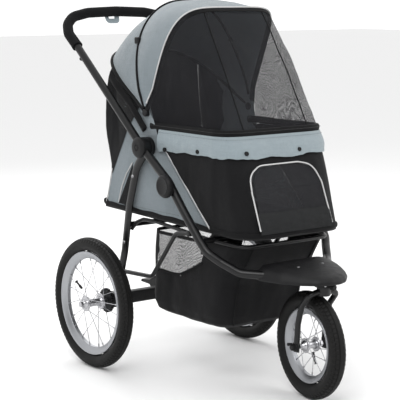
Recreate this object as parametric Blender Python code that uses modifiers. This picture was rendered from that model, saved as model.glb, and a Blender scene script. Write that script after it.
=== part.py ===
"""Three-wheel pet stroller with a fabric cabin, a folding canopy and a basket.

Metres, +Z up, the front towards -Y, standing on z = 0. Lengths along Y below are
measured from the rear axle, and one empty, the stroller, puts the whole object with
the middle of its footprint at the origin. Right is -X and left is +X.
"""
import bpy
import bmesh
from math import atan2, cos, hypot, pi, radians, sin, tan
from mathutils import Matrix, Vector

REAR_AXLE_Y = 0.2453        # moves the footprint's middle to the origin

# Wheels
REAR_R = 0.200              # 16 inch pneumatic tyre
REAR_TYRE_HALF = 0.022
REAR_X = 0.294              # wheel's middle plane
FRONT_R = 0.154             # 12 inch pneumatic tyre
FRONT_TYRE_HALF = 0.024
WHEEL_STEPS = 40
SPOKES_PER_FLANGE = 10
SPOKE_R = 0.0012
WHEELBASE = 0.650

# Caster fork, in its own frame: on the swivel axis at ground level, wheel trailing to +Y
TRAIL = 0.062
SWIVEL_Y = -(WHEELBASE + TRAIL)
REST_STEER = radians(-8)
FORK_R = 0.0085
FORK_X = 0.047
BRIDGE_Z = 0.319

# Side frames
TUBE_R = 0.0125
TUBE_X = 0.2255             # front tubes and handle
LEG_X = 0.2055              # rear legs, in a layer inside them
LEG_HALF = 0.007
HINGE = (-0.168, 0.686)     # main hinge, Y and Z
KNUCKLE_R = 0.030
TUBE_START = 0.034          # from the hinge's axis to a tube's end
PIN_R = 0.006
GAP = 0.0003
BEAM_HALF = 0.196

# Cabin
CABIN_X = 0.187
WALL = 0.003
FLOOR_REAR = (0.085, 0.487)
FLOOR_FRONT_Y = -0.603
FLOOR_SLOPE = 0.024
SIDE_FRONT_Y = -0.460
RIM_Z = 0.735
CORNER_R = 0.070
FRONT_TOP_SHIFT = 0.094     # how far the front panel leans back at the rim
FRONT_TAPER = 0.105         # how much narrower its middle is there

# Canopy: bows are arches in planes through one pivot axis
PIVOT = (-0.150, 0.785)
BOW_R = 0.0025
BOW_START = 0.0125
FLARE = 0.060


def clear_scene():
    for obj in list(bpy.data.objects):
        bpy.data.objects.remove(obj, do_unlink=True)


def new_collection(name):
    group = bpy.data.collections.new(name)
    bpy.context.scene.collection.children.link(group)
    return group


def new_finish(name, colour, roughness, metallic):
    finish = bpy.data.materials.new(name)
    finish.use_nodes = True
    shader = finish.node_tree.nodes["Principled BSDF"]
    shader.inputs["Base Color"].default_value = (*colour, 1)
    shader.inputs["Roughness"].default_value = roughness
    shader.inputs["Metallic"].default_value = metallic
    return finish


def new_empty(name, place, parent=None):
    empty = bpy.data.objects.new(name, None)
    PARTS.objects.link(empty)
    empty.location = place
    empty.parent = parent
    return empty


clear_scene()
PARTS = new_collection("pet_stroller")
CUTTERS = new_collection("cutters")
STROLLER = new_empty("stroller", (0, REAR_AXLE_Y, 0))
CASTER = new_empty("caster", (0, SWIVEL_Y, 0), STROLLER)
CASTER.rotation_euler = (0, 0, REST_STEER)

FINISHES = {
    "black_tube": new_finish("black_tube", (0.012, 0.012, 0.013), 0.35, 0.0),
    "black_plastic": new_finish("black_plastic", (0.015, 0.015, 0.016), 0.5, 0.0),
    "foam": new_finish("foam", (0.018, 0.018, 0.019), 0.85, 0.0),
    "tyre": new_finish("tyre", (0.014, 0.014, 0.014), 0.8, 0.0),
    "rim_metal": new_finish("rim_metal", (0.55, 0.56, 0.58), 0.25, 1.0),
    "hub_metal": new_finish("hub_metal", (0.5, 0.5, 0.52), 0.3, 1.0),
    "grey_fabric": new_finish("grey_fabric", (0.20, 0.24, 0.27), 0.85, 0.0),
    "black_fabric": new_finish("black_fabric", (0.016, 0.017, 0.018), 0.9, 0.0),
    "mesh_fabric": new_finish("mesh_fabric", (0.02, 0.02, 0.022), 0.8, 0.0),
}

# Rotation that turns an outline drawn in XY to the YZ plane, thickness along X
SIDE_ON = Matrix(((0, 0, 1), (1, 0, 0), (0, 1, 0))).to_euler()
# Rotation that turns a lathe's Z axis to X
ALONG_X = (0, pi / 2, 0)


def add(name, data, finish, place=(0, 0, 0), turn=(0, 0, 0), parent=None):
    """A visible sub-part, placed under the stroller's empty or another parent."""
    obj = bpy.data.objects.new(name, data)
    PARTS.objects.link(obj)
    obj.parent = parent or STROLLER
    obj.location = place
    obj.rotation_euler = turn
    if not data.materials:
        data.materials.append(FINISHES[finish])
    return obj


def make_cutter(obj):
    """Keeps an object as a Boolean's operand only."""
    for group in list(obj.users_collection):
        group.objects.unlink(obj)
    CUTTERS.objects.link(obj)
    obj.hide_render = True
    obj.display_type = "WIRE"
    return obj


def boolean(obj, other, operation):
    change = obj.modifiers.new(operation.lower(), "BOOLEAN")
    change.operation = operation
    change.object = make_cutter(other)


def to_mesh(obj):
    """The curve as a closed mesh object of the same name, ready to be cut or joined."""
    bpy.context.view_layer.update()
    depsgraph = bpy.context.evaluated_depsgraph_get()
    mesh = bpy.data.meshes.new_from_object(obj.evaluated_get(depsgraph))
    bm = bmesh.new()
    bm.from_mesh(mesh)
    bmesh.ops.remove_doubles(bm, verts=bm.verts, dist=0.00005)
    bmesh.ops.recalc_face_normals(bm, faces=bm.faces)
    bm.to_mesh(mesh)
    bm.free()
    name = obj.name
    place, turn, parent = obj.location.copy(), obj.rotation_euler.copy(), obj.parent
    bpy.data.objects.remove(obj, do_unlink=True)
    return add(name, mesh, "black_tube", place, turn, parent)


def smooth(obj):
    obj.data.shade_smooth()
    obj.data.set_sharp_from_angle(angle=radians(40))
    return obj


def rounded(points, radius, steps=4):
    """The path through the points with an arc in place of each inner corner."""
    points = [Vector(point) for point in points]
    path = [points[0]]
    last = len(points) - 2
    for index, (before, corner, after) in enumerate(zip(points, points[1:], points[2:]), 1):
        back = before - corner
        ahead = after - corner
        half = back.angle(ahead) / 2
        room_back = back.length * (0.98 if index == 1 else 0.49)
        room_ahead = ahead.length * (0.98 if index == last else 0.49)
        reach = min(radius / tan(half), room_back, room_ahead)
        back.normalize()
        ahead.normalize()
        centre = corner + (back + ahead).normalized() * hypot(reach, reach * tan(half))
        start = corner + back * reach - centre
        end = corner + ahead * reach - centre
        path += [centre + start.slerp(end, step / steps) * start.length
                 for step in range(steps + 1)]
    path.append(points[-1])
    return path


def tube(name, path, radius, finish, pivot=(0, 0, 0), parent=None, resolution=2):
    curve = bpy.data.curves.new(name, "CURVE")
    curve.dimensions = "3D"
    curve.bevel_depth = radius
    curve.bevel_resolution = resolution
    curve.use_fill_caps = True
    spline = curve.splines.new("POLY")
    spline.points.add(len(path) - 1)
    for spot, point in zip(spline.points, path):
        spot.co = (*(Vector(point) - Vector(pivot)), 1)
    return add(name, curve, finish, pivot, parent=parent)


def plate(name, outline, low_x, high_x, finish, pivot=(0, 0), holes=(), parent=None):
    """A flat piece with its outline in Y and Z and its thickness along X."""
    curve = bpy.data.curves.new(name, "CURVE")
    curve.dimensions = "2D"
    curve.fill_mode = "BOTH"
    curve.extrude = abs(high_x - low_x) / 2
    for loop in (outline, *holes):
        spline = curve.splines.new("POLY")
        spline.points.add(len(loop) - 1)
        spline.use_cyclic_u = True
        for spot, (y, z) in zip(spline.points, loop):
            spot.co = (y - pivot[0], z - pivot[1], 0, 1)
    middle = (low_x + high_x) / 2
    return add(name, curve, finish, (middle, *pivot), SIDE_ON, parent)


def circle(centre, radius, count=16):
    turns = [2 * pi * step / count for step in range(count)]
    return [(centre[0] + radius * cos(t), centre[1] + radius * sin(t)) for t in turns]


def box(name, low, high, finish, bevel=0.002, pivot=None, parent=None):
    """A block between two corners, its edges broken by a bevel."""
    low, high = Vector(low), Vector(high)
    middle = (low + high) / 2
    pivot = middle if pivot is None else Vector(pivot)
    bm = bmesh.new()
    bmesh.ops.create_cube(bm, size=1)
    bmesh.ops.scale(bm, vec=high - low, verts=bm.verts)
    bmesh.ops.translate(bm, vec=middle - pivot, verts=bm.verts)
    mesh = bpy.data.meshes.new(name)
    bm.to_mesh(mesh)
    bm.free()
    obj = add(name, mesh, finish, pivot, parent=parent)
    edges = obj.modifiers.new("edges", "BEVEL")
    edges.width = bevel
    edges.segments = 2
    return obj


def turned(name, profile, finish, place, turn=ALONG_X, parent=None, steps=24, closed=False):
    """A turned piece: the profile lists radius and height, top to bottom."""
    bm = bmesh.new()
    verts = [bm.verts.new((radius, 0, height)) for radius, height in profile]
    for first, second in zip(verts, verts[1:]):
        bm.edges.new((first, second))
    if closed:
        bm.edges.new((verts[-1], verts[0]))
    mesh = bpy.data.meshes.new(name)
    bm.to_mesh(mesh)
    bm.free()
    obj = add(name, mesh, finish, place, turn, parent)
    lathe = obj.modifiers.new("lathe", "SCREW")
    lathe.axis = "Z"
    lathe.steps = steps
    lathe.render_steps = steps
    lathe.use_merge_vertices = True
    lathe.merge_threshold = 0.0001
    return obj


# Wheels ------------------------------------------------------------------------------

def tyre(name, radius, half, inner, place, parent=None):
    """A round-shouldered tyre, from its tread down to the flat that sits on the rim."""
    middle = (radius + inner) / 2
    tall = (radius - inner) / 2
    angles = [radians(90 - 30 * step) for step in range(7)]
    profile = [(middle + tall * cos(a), half * sin(a)) for a in angles]
    profile += [(inner, -0.55 * half), (inner, 0.55 * half)]
    return turned(name, profile, "tyre", place, parent=parent, steps=WHEEL_STEPS,
                  closed=True)


def rim(name, outer, depth, half, place, parent=None):
    """A deep rim whose sides slope in to a narrow inner face."""
    inner = outer - depth
    profile = [(outer, half), (outer, -half), (outer - 0.45 * depth, -0.9 * half),
               (inner, -0.45 * half), (inner, 0.45 * half),
               (outer - 0.45 * depth, 0.9 * half)]
    return turned(name, profile, "rim_metal", place, parent=parent, steps=WHEEL_STEPS,
                  closed=True)


def spokes(name, flange, flange_r, reach, place, parent=None):
    """Straight spokes from both hub flanges to just short of the rim, leaning in pairs."""
    bm = bmesh.new()
    step = 2 * pi / SPOKES_PER_FLANGE
    for side in (-1, 1):
        for index in range(SPOKES_PER_FLANGE):
            angle = step * (index + 0.25 * side)
            lean = radians(12) * (1 if index % 2 else -1)
            start = Vector((side * flange, (flange_r - 0.004) * sin(angle),
                            (flange_r - 0.004) * cos(angle)))
            end = Vector((side * 0.002, reach * sin(angle + lean),
                          reach * cos(angle + lean)))
            along = end - start
            turn = along.to_track_quat("Z", "Y").to_matrix().to_4x4()
            middle = Matrix.Translation((start + end) / 2)
            bmesh.ops.create_cone(bm, cap_ends=True, segments=6, radius1=SPOKE_R,
                                  radius2=SPOKE_R, depth=along.length,
                                  matrix=middle @ turn)
    mesh = bpy.data.meshes.new(name)
    bm.to_mesh(mesh)
    bm.free()
    return add(name, mesh, "hub_metal", place, parent=parent)


def spoked_hub(name, profile, flange, flange_r, reach, place, turn=ALONG_X, parent=None):
    """A turned hub shell with two flanges, joined to its spokes."""
    hub = turned(name, profile, "hub_metal", place, turn, parent, steps=20)
    boolean(hub, spokes(name + "_spokes", flange, flange_r, reach, place, parent), "UNION")
    return hub


def hub_profile(flange, flange_r, barrel_r, shaft_r, top, bottom):
    """Radius and height along the hub, from its top end to its bottom end."""
    thick = 0.003
    return [(0, top), (shaft_r, top), (shaft_r, flange + 0.008),
            (barrel_r, flange + 0.006), (barrel_r, flange + thick),
            (flange_r, flange + thick), (flange_r, flange - thick),
            (barrel_r, flange - 2 * thick), (barrel_r, -flange + 2 * thick),
            (flange_r, -flange + thick), (flange_r, -flange - thick),
            (barrel_r, -flange - thick), (barrel_r, -flange - 0.006),
            (shaft_r, -flange - 0.008), (shaft_r, bottom), (0, bottom)]


def spoke_reach(rim_inner):
    """From the axle to just inside the flats between the rim's corners."""
    return rim_inner * cos(pi / WHEEL_STEPS) - 0.0005


def brake_ring(name, place_x):
    """A notched disc fixed to the wheel, which the brake rod's end locks."""
    teeth = 24
    outline = []
    for index in range(teeth):
        for share, radius in ((0.0, 0.0375), (0.5, 0.0375), (0.55, 0.033), (0.95, 0.033)):
            angle = 2 * pi * (index + share) / teeth
            outline.append((radius * cos(angle), REAR_R + radius * sin(angle)))
    low, high = sorted((place_x * 0.2395, place_x * 0.2475))
    return plate(name, outline, low, high, "black_plastic", (0, REAR_R),
                 [circle((0, REAR_R), 0.0093)])


def rear_wheel(side, word):
    centre = (side * REAR_X, 0, REAR_R)
    inward = (0, side * pi / 2, 0)
    tyre_inner = 0.1568
    tyre("rear_tyre_" + word, REAR_R, REAR_TYRE_HALF, tyre_inner, centre)
    rim("rear_rim_" + word, tyre_inner - GAP, 0.018, 0.013, centre)
    profile = hub_profile(0.027, 0.024, 0.015, 0.009, 0.043, -(REAR_X - 0.2363))
    reach = spoke_reach(tyre_inner - GAP - 0.018)
    spoked_hub("rear_hub_" + word, profile, 0.027, 0.024, reach, centre, inward)
    brake_ring("brake_ring_" + word, side)


def front_wheel():
    centre = (0, TRAIL, FRONT_R)
    tyre_inner = 0.1060
    tyre("front_tyre", FRONT_R, FRONT_TYRE_HALF, tyre_inner, centre, CASTER)
    rim("front_rim", tyre_inner - GAP, 0.016, 0.014, centre, CASTER)
    profile = hub_profile(0.018, 0.021, 0.013, 0.008, 0.0380, -0.0380)
    reach = spoke_reach(tyre_inner - GAP - 0.016)
    spoked_hub("front_hub", profile, 0.018, 0.021, reach, centre, parent=CASTER)


# Front: fork, fork head and cover ----------------------------------------------------

def fork():
    """One bent tube from dropout to dropout, with the swivel's flange and pin on top."""
    half = [(FORK_X, TRAIL, FRONT_R - 0.006), (FORK_X, TRAIL - 0.006, 0.220),
            (FORK_X, TRAIL - 0.022, 0.272), (FORK_X - 0.002, 0.004, 0.310),
            (0.026, 0, BRIDGE_Z)]
    mirrored = [(-x, y, z) for x, y, z in reversed(half)]
    legs = to_mesh(tube("fork", rounded(half + mirrored, 0.030, 3), FORK_R, "black_tube",
                        parent=CASTER))
    top = BRIDGE_Z + 0.0140
    profile = [(0, top + 0.009), (0.0080, top + 0.009), (0.0080, top), (0.020, top),
               (0.020, BRIDGE_Z), (0, BRIDGE_Z)]
    swivel = turned("swivel_pin", profile, "black_tube", (0, 0, 0), (0, 0, 0), CASTER, 20)
    boolean(legs, swivel, "UNION")


def fork_head():
    """The bearing cup under the cover that the fork's pin turns in."""
    low, high = BRIDGE_Z + 0.0140 + GAP, COVER_LOW - GAP
    profile = [(0.0083, high), (0.026, high), (0.026, low), (0.0083, low)]
    turned("fork_head", profile, "black_plastic", (0, SWIVEL_Y, 0), (0, 0, 0), steps=24,
           closed=True)


def swivel_lock():
    """A pull knob in front of the fork head that frees the swivel."""
    place = (0, SWIVEL_Y - 0.0265, COVER_LOW - 0.009)
    profile = [(0, 0.018), (0.0065, 0.018), (0.0085, 0.016), (0.0085, 0.004), (0.005, 0.002),
               (0.005, 0), (0, 0)]
    turned("swivel_lock", profile, "black_plastic", place, (pi / 2, 0, 0), steps=16)


COVER_LOW = 0.3457
COVER_HALF = [(0.125, -0.565), (0.130, -0.600), (0.115, -0.660), (0.085, -0.715),
              (0.045, -0.750), (0.015, -0.762)]


def front_tube_path(side):
    points = [(TUBE_X, *HINGE), (TUBE_X, -0.298, 0.598), (TUBE_X, -0.368, 0.523),
              (TUBE_X, -0.444, 0.447), (0.2235, -0.475, 0.418), (0.200, -0.503, 0.394),
              (0.165, -0.548, 0.364), (0.125, -0.590, 0.361), (0.090, -0.630, 0.364)]
    start = Vector(points[0])
    toward = (Vector(points[1]) - start).normalized()
    points[0] = start + toward * TUBE_START
    return rounded([(side * x, y, z) for x, y, z in points], 0.060, 3)


def front_cover():
    """A moulded wedge that ties the two front tubes to the fork head."""
    outline = COVER_HALF + [(-x, y) for x, y in reversed(COVER_HALF)]
    bm = bmesh.new()
    base = bm.faces.new([bm.verts.new((x, y, COVER_LOW)) for x, y in outline])
    raised = bmesh.ops.extrude_face_region(bm, geom=[base])["geom"]
    for vert in [item for item in raised if isinstance(item, bmesh.types.BMVert)]:
        share = (vert.co.y + 0.762) / 0.197
        vert.co.z += 0.020 + 0.020 * share
        vert.co.x *= 0.93
        vert.co.y += 0.008 * (1 - share)
    bmesh.ops.recalc_face_normals(bm, faces=bm.faces)
    mesh = bpy.data.meshes.new("front_cover")
    bm.to_mesh(mesh)
    bm.free()
    cover = add("front_cover", mesh, "black_plastic")
    for side in (-1, 1):
        socket = tube("socket", front_tube_path(side), TUBE_R + GAP, "black_tube")
        boolean(cover, to_mesh(socket), "DIFFERENCE")


# Side frames -------------------------------------------------------------------------

def knuckle(name, toward, half_width, length, low_x, high_x):
    """A hinge knuckle: a disc round the pin with an arm to the tube that it carries."""
    aim = atan2(toward[1] - HINGE[1], toward[0] - HINGE[0])
    spread = radians(35)
    outline = []
    for step in range(17):
        angle = aim + spread + (2 * pi - 2 * spread) * step / 16
        outline.append((HINGE[0] + KNUCKLE_R * cos(angle), HINGE[1] + KNUCKLE_R * sin(angle)))
    for edge in (-1, 1):
        outline.append((HINGE[0] + length * cos(aim) - edge * half_width * sin(aim),
                        HINGE[1] + length * sin(aim) + edge * half_width * cos(aim)))
    return to_mesh(plate(name, outline, low_x, high_x, "black_plastic", HINGE,
                         [circle(HINGE, PIN_R + GAP)]))


def front_tube(side, word):
    path = front_tube_path(side)
    pipe = to_mesh(tube("front_tube_" + word, path, TUBE_R, "black_tube"))
    toward = (path[1][1], path[1][2])
    low, high = sorted((side * (TUBE_X - TUBE_R), side * (TUBE_X - GAP)))
    boolean(pipe, knuckle("front_knuckle_" + word, toward, 0.009, 0.042, low, high), "UNION")


def rear_leg(side, word):
    """A flat oval leg from the main hinge to the axle housing."""
    spots = [HINGE, (-0.110, 0.618), (-0.071, 0.500), (-0.045, 0.357), (-0.006, 0.2290)]
    start = Vector(spots[0])
    toward = (Vector(spots[1]) - start).normalized()
    points = [tuple(start + toward * TUBE_START)] + spots[1:]
    path = rounded([(side * LEG_X, y, z) for y, z in points], 0.1, 2)
    pivot = (side * LEG_X, *HINGE)
    leg = to_mesh(tube("rear_leg_" + word, path, 0.015, "black_tube", pivot))
    leg.data.transform(Matrix.Diagonal((LEG_HALF / 0.015, 1, 1, 1)))
    low, high = sorted((side * (LEG_X - LEG_HALF + 0.0005), side * (LEG_X + LEG_HALF - 0.0005)))
    boolean(leg, knuckle("leg_knuckle_" + word, spots[1], 0.012, 0.042, low, high), "UNION")


def hinge_hardware(side, word):
    """The pin through the three knuckles and the cap that covers them."""
    middle = side * (LEG_X - LEG_HALF + TUBE_X + TUBE_R) / 2
    half = (TUBE_X + TUBE_R - LEG_X + LEG_HALF) / 2
    shaft = [(0, half), (PIN_R, half), (PIN_R, -half), (0, -half)]
    turned("hinge_pin_" + word, shaft, "hub_metal", (middle, *HINGE), steps=16)
    cap = [(0, 0.0080), (0.020, 0.0080), (0.028, 0.0055), (0.031, 0.002), (0.031, 0), (0, 0)]
    turned("hinge_cap_" + word, cap, "black_plastic",
           (side * (TUBE_X + TUBE_R + GAP), *HINGE), (0, side * pi / 2, 0))


def fold_knob(side, word):
    """The round lock knob on the outside of the front tube."""
    profile = [(0, 0.022), (0.012, 0.022), (0.016, 0.018), (0.027, 0.016), (0.033, 0.012),
               (0.034, 0.004), (0.031, 0), (0, 0)]
    place = (side * (TUBE_X + TUBE_R + GAP), -0.308, 0.588)
    turned("fold_knob_" + word, profile, "black_plastic", place, (0, side * pi / 2, 0))


def brace(side, word):
    """The Z-shaped link from the leg towards the front tube, open at its front end."""
    x = side * (LEG_X + LEG_HALF + GAP + 0.0065)
    spots = [(-0.050, 0.297), (-0.206, 0.305), (-0.324, 0.451), (-0.390, 0.460)]
    path = rounded([(x, y, z) for y, z in spots], 0.03, 3)
    tube("brace_" + word, path, 0.0065, "black_tube", (x, -0.050, 0.297))


def cross_tubes():
    """The front cross tube between the front tubes, the rear one between the legs."""
    reach = 0.2105
    tube("front_cross_tube", [(-reach, -0.446, 0.4455), (reach, -0.446, 0.4455)], 0.008,
         "black_tube")
    reach = LEG_X - LEG_HALF - GAP
    tube("rear_cross_tube", [(-reach, -0.062, 0.440), (reach, -0.062, 0.440)], 0.008,
         "black_tube")


# Rear axle and brake -----------------------------------------------------------------

BRAKE_PIVOT = (0.030, 0.236)
BRAKE_ROD = (0.0475, 0.205)


def rear_axle():
    """The boxed axle beam with its pedal ears, and a housing at each end of it."""
    beam = box("axle_beam", (-BEAM_HALF, -0.014, 0.181), (BEAM_HALF, 0.014, 0.219),
               "black_plastic", 0.005)
    for side, word in SIDES:
        low, high = sorted((side * 0.0362, side * 0.044))
        ear = [(0.000, 0.205), (0.013, 0.205), (0.040, 0.230), (0.040, 0.244), (0.026, 0.246)]
        boolean(beam, to_mesh(plate("pedal_ear_" + word, ear, low, high, "black_plastic")),
                "UNION")
        low, high = sorted((side * (BEAM_HALF + GAP), side * 0.236))
        box("axle_housing_" + word, (low, -0.020, 0.178), (high, 0.020, 0.222),
            "black_plastic", 0.004)


def brake():
    """The foot pedal between its ears and the rod that reaches both brake rings."""
    outline = [(0.022, 0.240), (0.030, 0.246), (0.044, 0.240), (0.066, 0.226), (0.110, 0.222),
               (0.112, 0.214), (0.066, 0.212), (0.054, 0.198), (0.042, 0.196), (0.036, 0.210),
               (0.024, 0.226)]
    plate("brake_pedal", outline, -0.0358, 0.0358, "black_plastic", BRAKE_PIVOT,
          [circle(BRAKE_ROD, 0.0043, 12)])
    tube("brake_rod", [(-0.2475, *BRAKE_ROD), (0.2475, *BRAKE_ROD)], 0.004, "hub_metal",
         (0, *BRAKE_PIVOT))


# Handle ------------------------------------------------------------------------------

def handle_half(side):
    points = [(TUBE_X, 0.180, 0.973), (0.222, 0.232, 1.008), (0.204, 0.266, 1.036),
              (0.172, 0.284, 1.059), (0.110, 0.293, 1.071)]
    start = Vector(HINGE)
    toward = (Vector(points[0][1:]) - start).normalized()
    first = start + toward * TUBE_START
    return [(side * x, y, z) for x, y, z in [(TUBE_X, *first)] + points]


def button_spot():
    """Where the fold buttons sit: a point on the bar's axis and the way out of it."""
    start, end = Vector(HINGE), Vector((0.180, 0.973))
    along = (end - start).normalized()
    return start + along * 0.405, Vector((along.y, -along.x))


def handle():
    """One U-shaped bar from knuckle to knuckle, a foam grip round its upper bend."""
    pivot = (0, *HINGE)
    path = handle_half(-1) + [(0, 0.296, 1.075)] + list(reversed(handle_half(1)))
    path = rounded(path, 0.06, 2)
    bar = to_mesh(tube("handle_bar", path, 0.0118, "black_tube", pivot))
    for side, word in SIDES:
        low, high = sorted((side * (TUBE_X + GAP), side * (TUBE_X + TUBE_R)))
        arm = knuckle("handle_knuckle_" + word, handle_half(side)[1][1:], 0.009, 0.042,
                      low, high)
        boolean(bar, arm, "UNION")
        spot, out = button_spot()
        pocket = [(0, 0.010), (0.0069, 0.010), (0.0069, -0.007), (0, -0.007)]
        hole = turned("button_pocket_" + word, pocket, "black_tube",
                      (side * TUBE_X, *(spot + out * 0.0118)),
                      (atan2(out.y, out.x) - pi / 2, 0, 0), steps=16)
        boolean(bar, hole, "DIFFERENCE")
    foam = [point for point in path if point.z > 0.960]
    sleeve = to_mesh(tube("handle_grip", foam, 0.0165, "foam", pivot))
    core = to_mesh(tube("grip_core", path, 0.0121, "foam", pivot))
    boolean(sleeve, core, "DIFFERENCE")


def fold_buttons():
    """A spring button in a pocket of each handle tube that frees the fold."""
    spot, out = button_spot()
    for side, word in SIDES:
        profile = [(0, 0.009), (0.005, 0.009), (0.0065, 0.0075), (0.0065, 0), (0, 0)]
        turned("fold_button_" + word, profile, "black_plastic",
               (side * TUBE_X, *(spot + out * 0.0098)),
               (atan2(out.y, out.x) - pi / 2, 0, 0), steps=16)


# Cabin -------------------------------------------------------------------------------

def floor_z(y):
    return FLOOR_REAR[1] + FLOOR_SLOPE * (y - FLOOR_REAR[0])


def slab(name, half_x, rear_y, front_y, low, thick, corner, finish):
    """A flat pad or board that follows the cabin floor's slope, its front corners round."""
    outline = rounded([(-half_x, rear_y, 0), (-half_x, front_y, 0), (half_x, front_y, 0),
                       (half_x, rear_y, 0)], corner, 5)
    bm = bmesh.new()
    base = bm.faces.new([bm.verts.new((p.x, p.y, floor_z(p.y) + low)) for p in outline])
    raised = bmesh.ops.extrude_face_region(bm, geom=[base])["geom"]
    top = [item for item in raised if isinstance(item, bmesh.types.BMVert)]
    bmesh.ops.translate(bm, vec=(0, 0, thick), verts=top)
    bmesh.ops.recalc_face_normals(bm, faces=bm.faces)
    mesh = bpy.data.meshes.new(name)
    bm.to_mesh(mesh)
    bm.free()
    return add(name, mesh, finish)


def strip_wall(name, path, low, high, thick, finish):
    """A thin upright wall along a path; low and high give the two edges' points."""
    bm = bmesh.new()
    rows = [[bm.verts.new(edge(point)) for point in path] for edge in (low, high)]
    for index in range(len(path) - 1):
        bm.faces.new((rows[0][index], rows[0][index + 1], rows[1][index + 1], rows[1][index]))
    mesh = bpy.data.meshes.new(name)
    bm.to_mesh(mesh)
    bm.free()
    wall = add(name, mesh, finish)
    skin = wall.modifiers.new("skin", "SOLIDIFY")
    skin.thickness = thick
    skin.offset = 0
    return wall


def front_plan(half_x, rear_y, front_y):
    """The U of the front end in plan, with a point on each side where the lean starts."""
    path = rounded([(-half_x, rear_y, 0), (-half_x, front_y, 0), (half_x, front_y, 0),
                    (half_x, rear_y, 0)], CORNER_R, 6)
    if rear_y > SIDE_FRONT_Y + 0.01:
        path.insert(1, Vector((-half_x, SIDE_FRONT_Y, 0)))
        path.insert(-1, Vector((half_x, SIDE_FRONT_Y, 0)))
    return path


def lean(point, z):
    """A point of the front wall at height z: its middle leans back towards the rim."""
    share = (SIDE_FRONT_Y - point.y) / (SIDE_FRONT_Y - FLOOR_FRONT_Y)
    rise = (z - floor_z(point.y)) / (RIM_Z - floor_z(point.y))
    share = max(share, 0) * rise
    return (point.x * (1 - FRONT_TAPER * share), point.y + FRONT_TOP_SHIFT * share, z)


def cabin():
    slab("cabin_floor", CABIN_X, FLOOR_REAR[0], FLOOR_FRONT_Y, -0.0103, 0.010, CORNER_R,
         "black_plastic")
    slab("floor_cushion", CABIN_X - 0.008, 0.068, FLOOR_FRONT_Y + 0.012, 0.0003, 0.028,
         0.065, "black_fabric")
    side_outline = [(0.076, floor_z(0.076)),
                    (SIDE_FRONT_Y, floor_z(SIDE_FRONT_Y)), (SIDE_FRONT_Y, RIM_Z),
                    (-0.165, RIM_Z), (-0.140, 0.770), (0.088, 0.892), (0.102, 0.870),
                    (0.072, 0.700), (0.044, 0.600)]
    for side, word in SIDES:
        low, high = sorted((side * (CABIN_X - WALL), side * CABIN_X))
        plate("cabin_side_" + word, side_outline, low, high, "grey_fabric")
    plan = front_plan(CABIN_X - WALL / 2, SIDE_FRONT_Y - 0.0015, FLOOR_FRONT_Y)
    strip_wall("cabin_front", plan, lambda p: lean(p, floor_z(p.y) + GAP),
               lambda p: lean(p, RIM_Z), WALL, "black_fabric")
    back = [(0.076, 0.488), (0.044, 0.600), (0.072, 0.700), (0.103, 0.870), (0.108, 0.918)]
    outline = back + [(y + WALL, z) for y, z in reversed(back)]
    reach = CABIN_X - WALL - 0.001
    plate("cabin_rear", outline, -reach, reach, "black_fabric")
    rim_plan = front_plan(CABIN_X - 0.002, -0.175, FLOOR_FRONT_Y + 0.005)
    rim_path = [Vector(lean(p, RIM_Z)) + Vector((0, 0, 0.0105)) for p in rim_plan]
    tube("cabin_rim", rim_path, 0.006, "black_fabric")
    band = front_plan(CABIN_X - WALL / 2, -0.215, FLOOR_FRONT_Y)

    def outside(p, z):
        ahead = max(SIDE_FRONT_Y - p.y, 0) / (SIDE_FRONT_Y - FLOOR_FRONT_Y)
        return Vector(lean(p, z)) + Vector((0.0070 * p.x / CABIN_X, -0.0090 * ahead, 0))

    strip_wall("front_band", band, lambda p: outside(p, 0.680),
               lambda p: outside(p, RIM_Z - 0.001), 0.002, "grey_fabric")


def basket():
    """A sewn bag, open on top, that hangs between the rear legs and the front cross tube."""
    levels = [(0.180, 0.120, -0.430, -0.120, 0.04), (0.198, 0.148, -0.457, -0.100, 0.05),
              (0.310, 0.158, -0.480, -0.105, 0.05), (0.432, 0.165, -0.553, -0.122, 0.05)]
    bm = bmesh.new()
    rings = []
    for z, half_x, front_y, rear_y, corner in levels:
        middle = (front_y + rear_y) / 2
        loop = [(0, rear_y, z), (-half_x, rear_y, z), (-half_x, front_y, z),
                (half_x, front_y, z), (half_x, rear_y, z), (0, rear_y, z)]
        outline = rounded(loop, corner, 3)[:-1]
        verts = [bm.verts.new(point) for point in outline]
        count = len(verts)
        rings.append([bm.edges.new((verts[i], verts[(i + 1) % count])) for i in range(count)])
        if len(rings) == 1:
            bm.faces.new(verts)
    for lower, upper in zip(rings, rings[1:]):
        bmesh.ops.bridge_loops(bm, edges=lower + upper)
    bmesh.ops.recalc_face_normals(bm, faces=bm.faces)
    mesh = bpy.data.meshes.new("basket")
    bm.to_mesh(mesh)
    bm.free()
    bag = add("basket", mesh, "mesh_fabric")
    skin = bag.modifiers.new("skin", "SOLIDIFY")
    skin.thickness = WALL
    skin.offset = -1


# Canopy ------------------------------------------------------------------------------

class Bow:
    """An arch: half width, height, fullness, lean from upright at its sides and top
    (degrees, forward is negative) and where its legs sit along the pivot."""

    def __init__(self, half, height, fullness, side_lean, top_lean, leg_x):
        self.half = half
        self.height = height
        self.fullness = fullness
        self.side_lean = side_lean
        self.top_lean = top_lean
        self.leg_x = leg_x

    def point(self, share, first=BOW_START, leaning=0.0):
        """The point at a share from 0, the right leg's foot, to 1, the left one's."""
        angle = pi * share
        power = 2 / self.fullness
        rise = abs(sin(angle)) ** power * self.height
        across = (1 if share > 0.5 else -1) * abs(cos(angle)) ** power * self.half
        height = max(rise, first)
        flare = min((height - BOW_START) / FLARE, 1.0)
        foot = self.leg_x if across > 0 else -self.leg_x
        across = foot + (across - foot) * flare
        blend = (height / self.height) ** 3
        tilt = radians(self.side_lean + (self.top_lean - self.side_lean) * blend + leaning)
        return Vector((across, PIVOT[0] + height * sin(tilt), PIVOT[1] + height * cos(tilt)))


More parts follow.
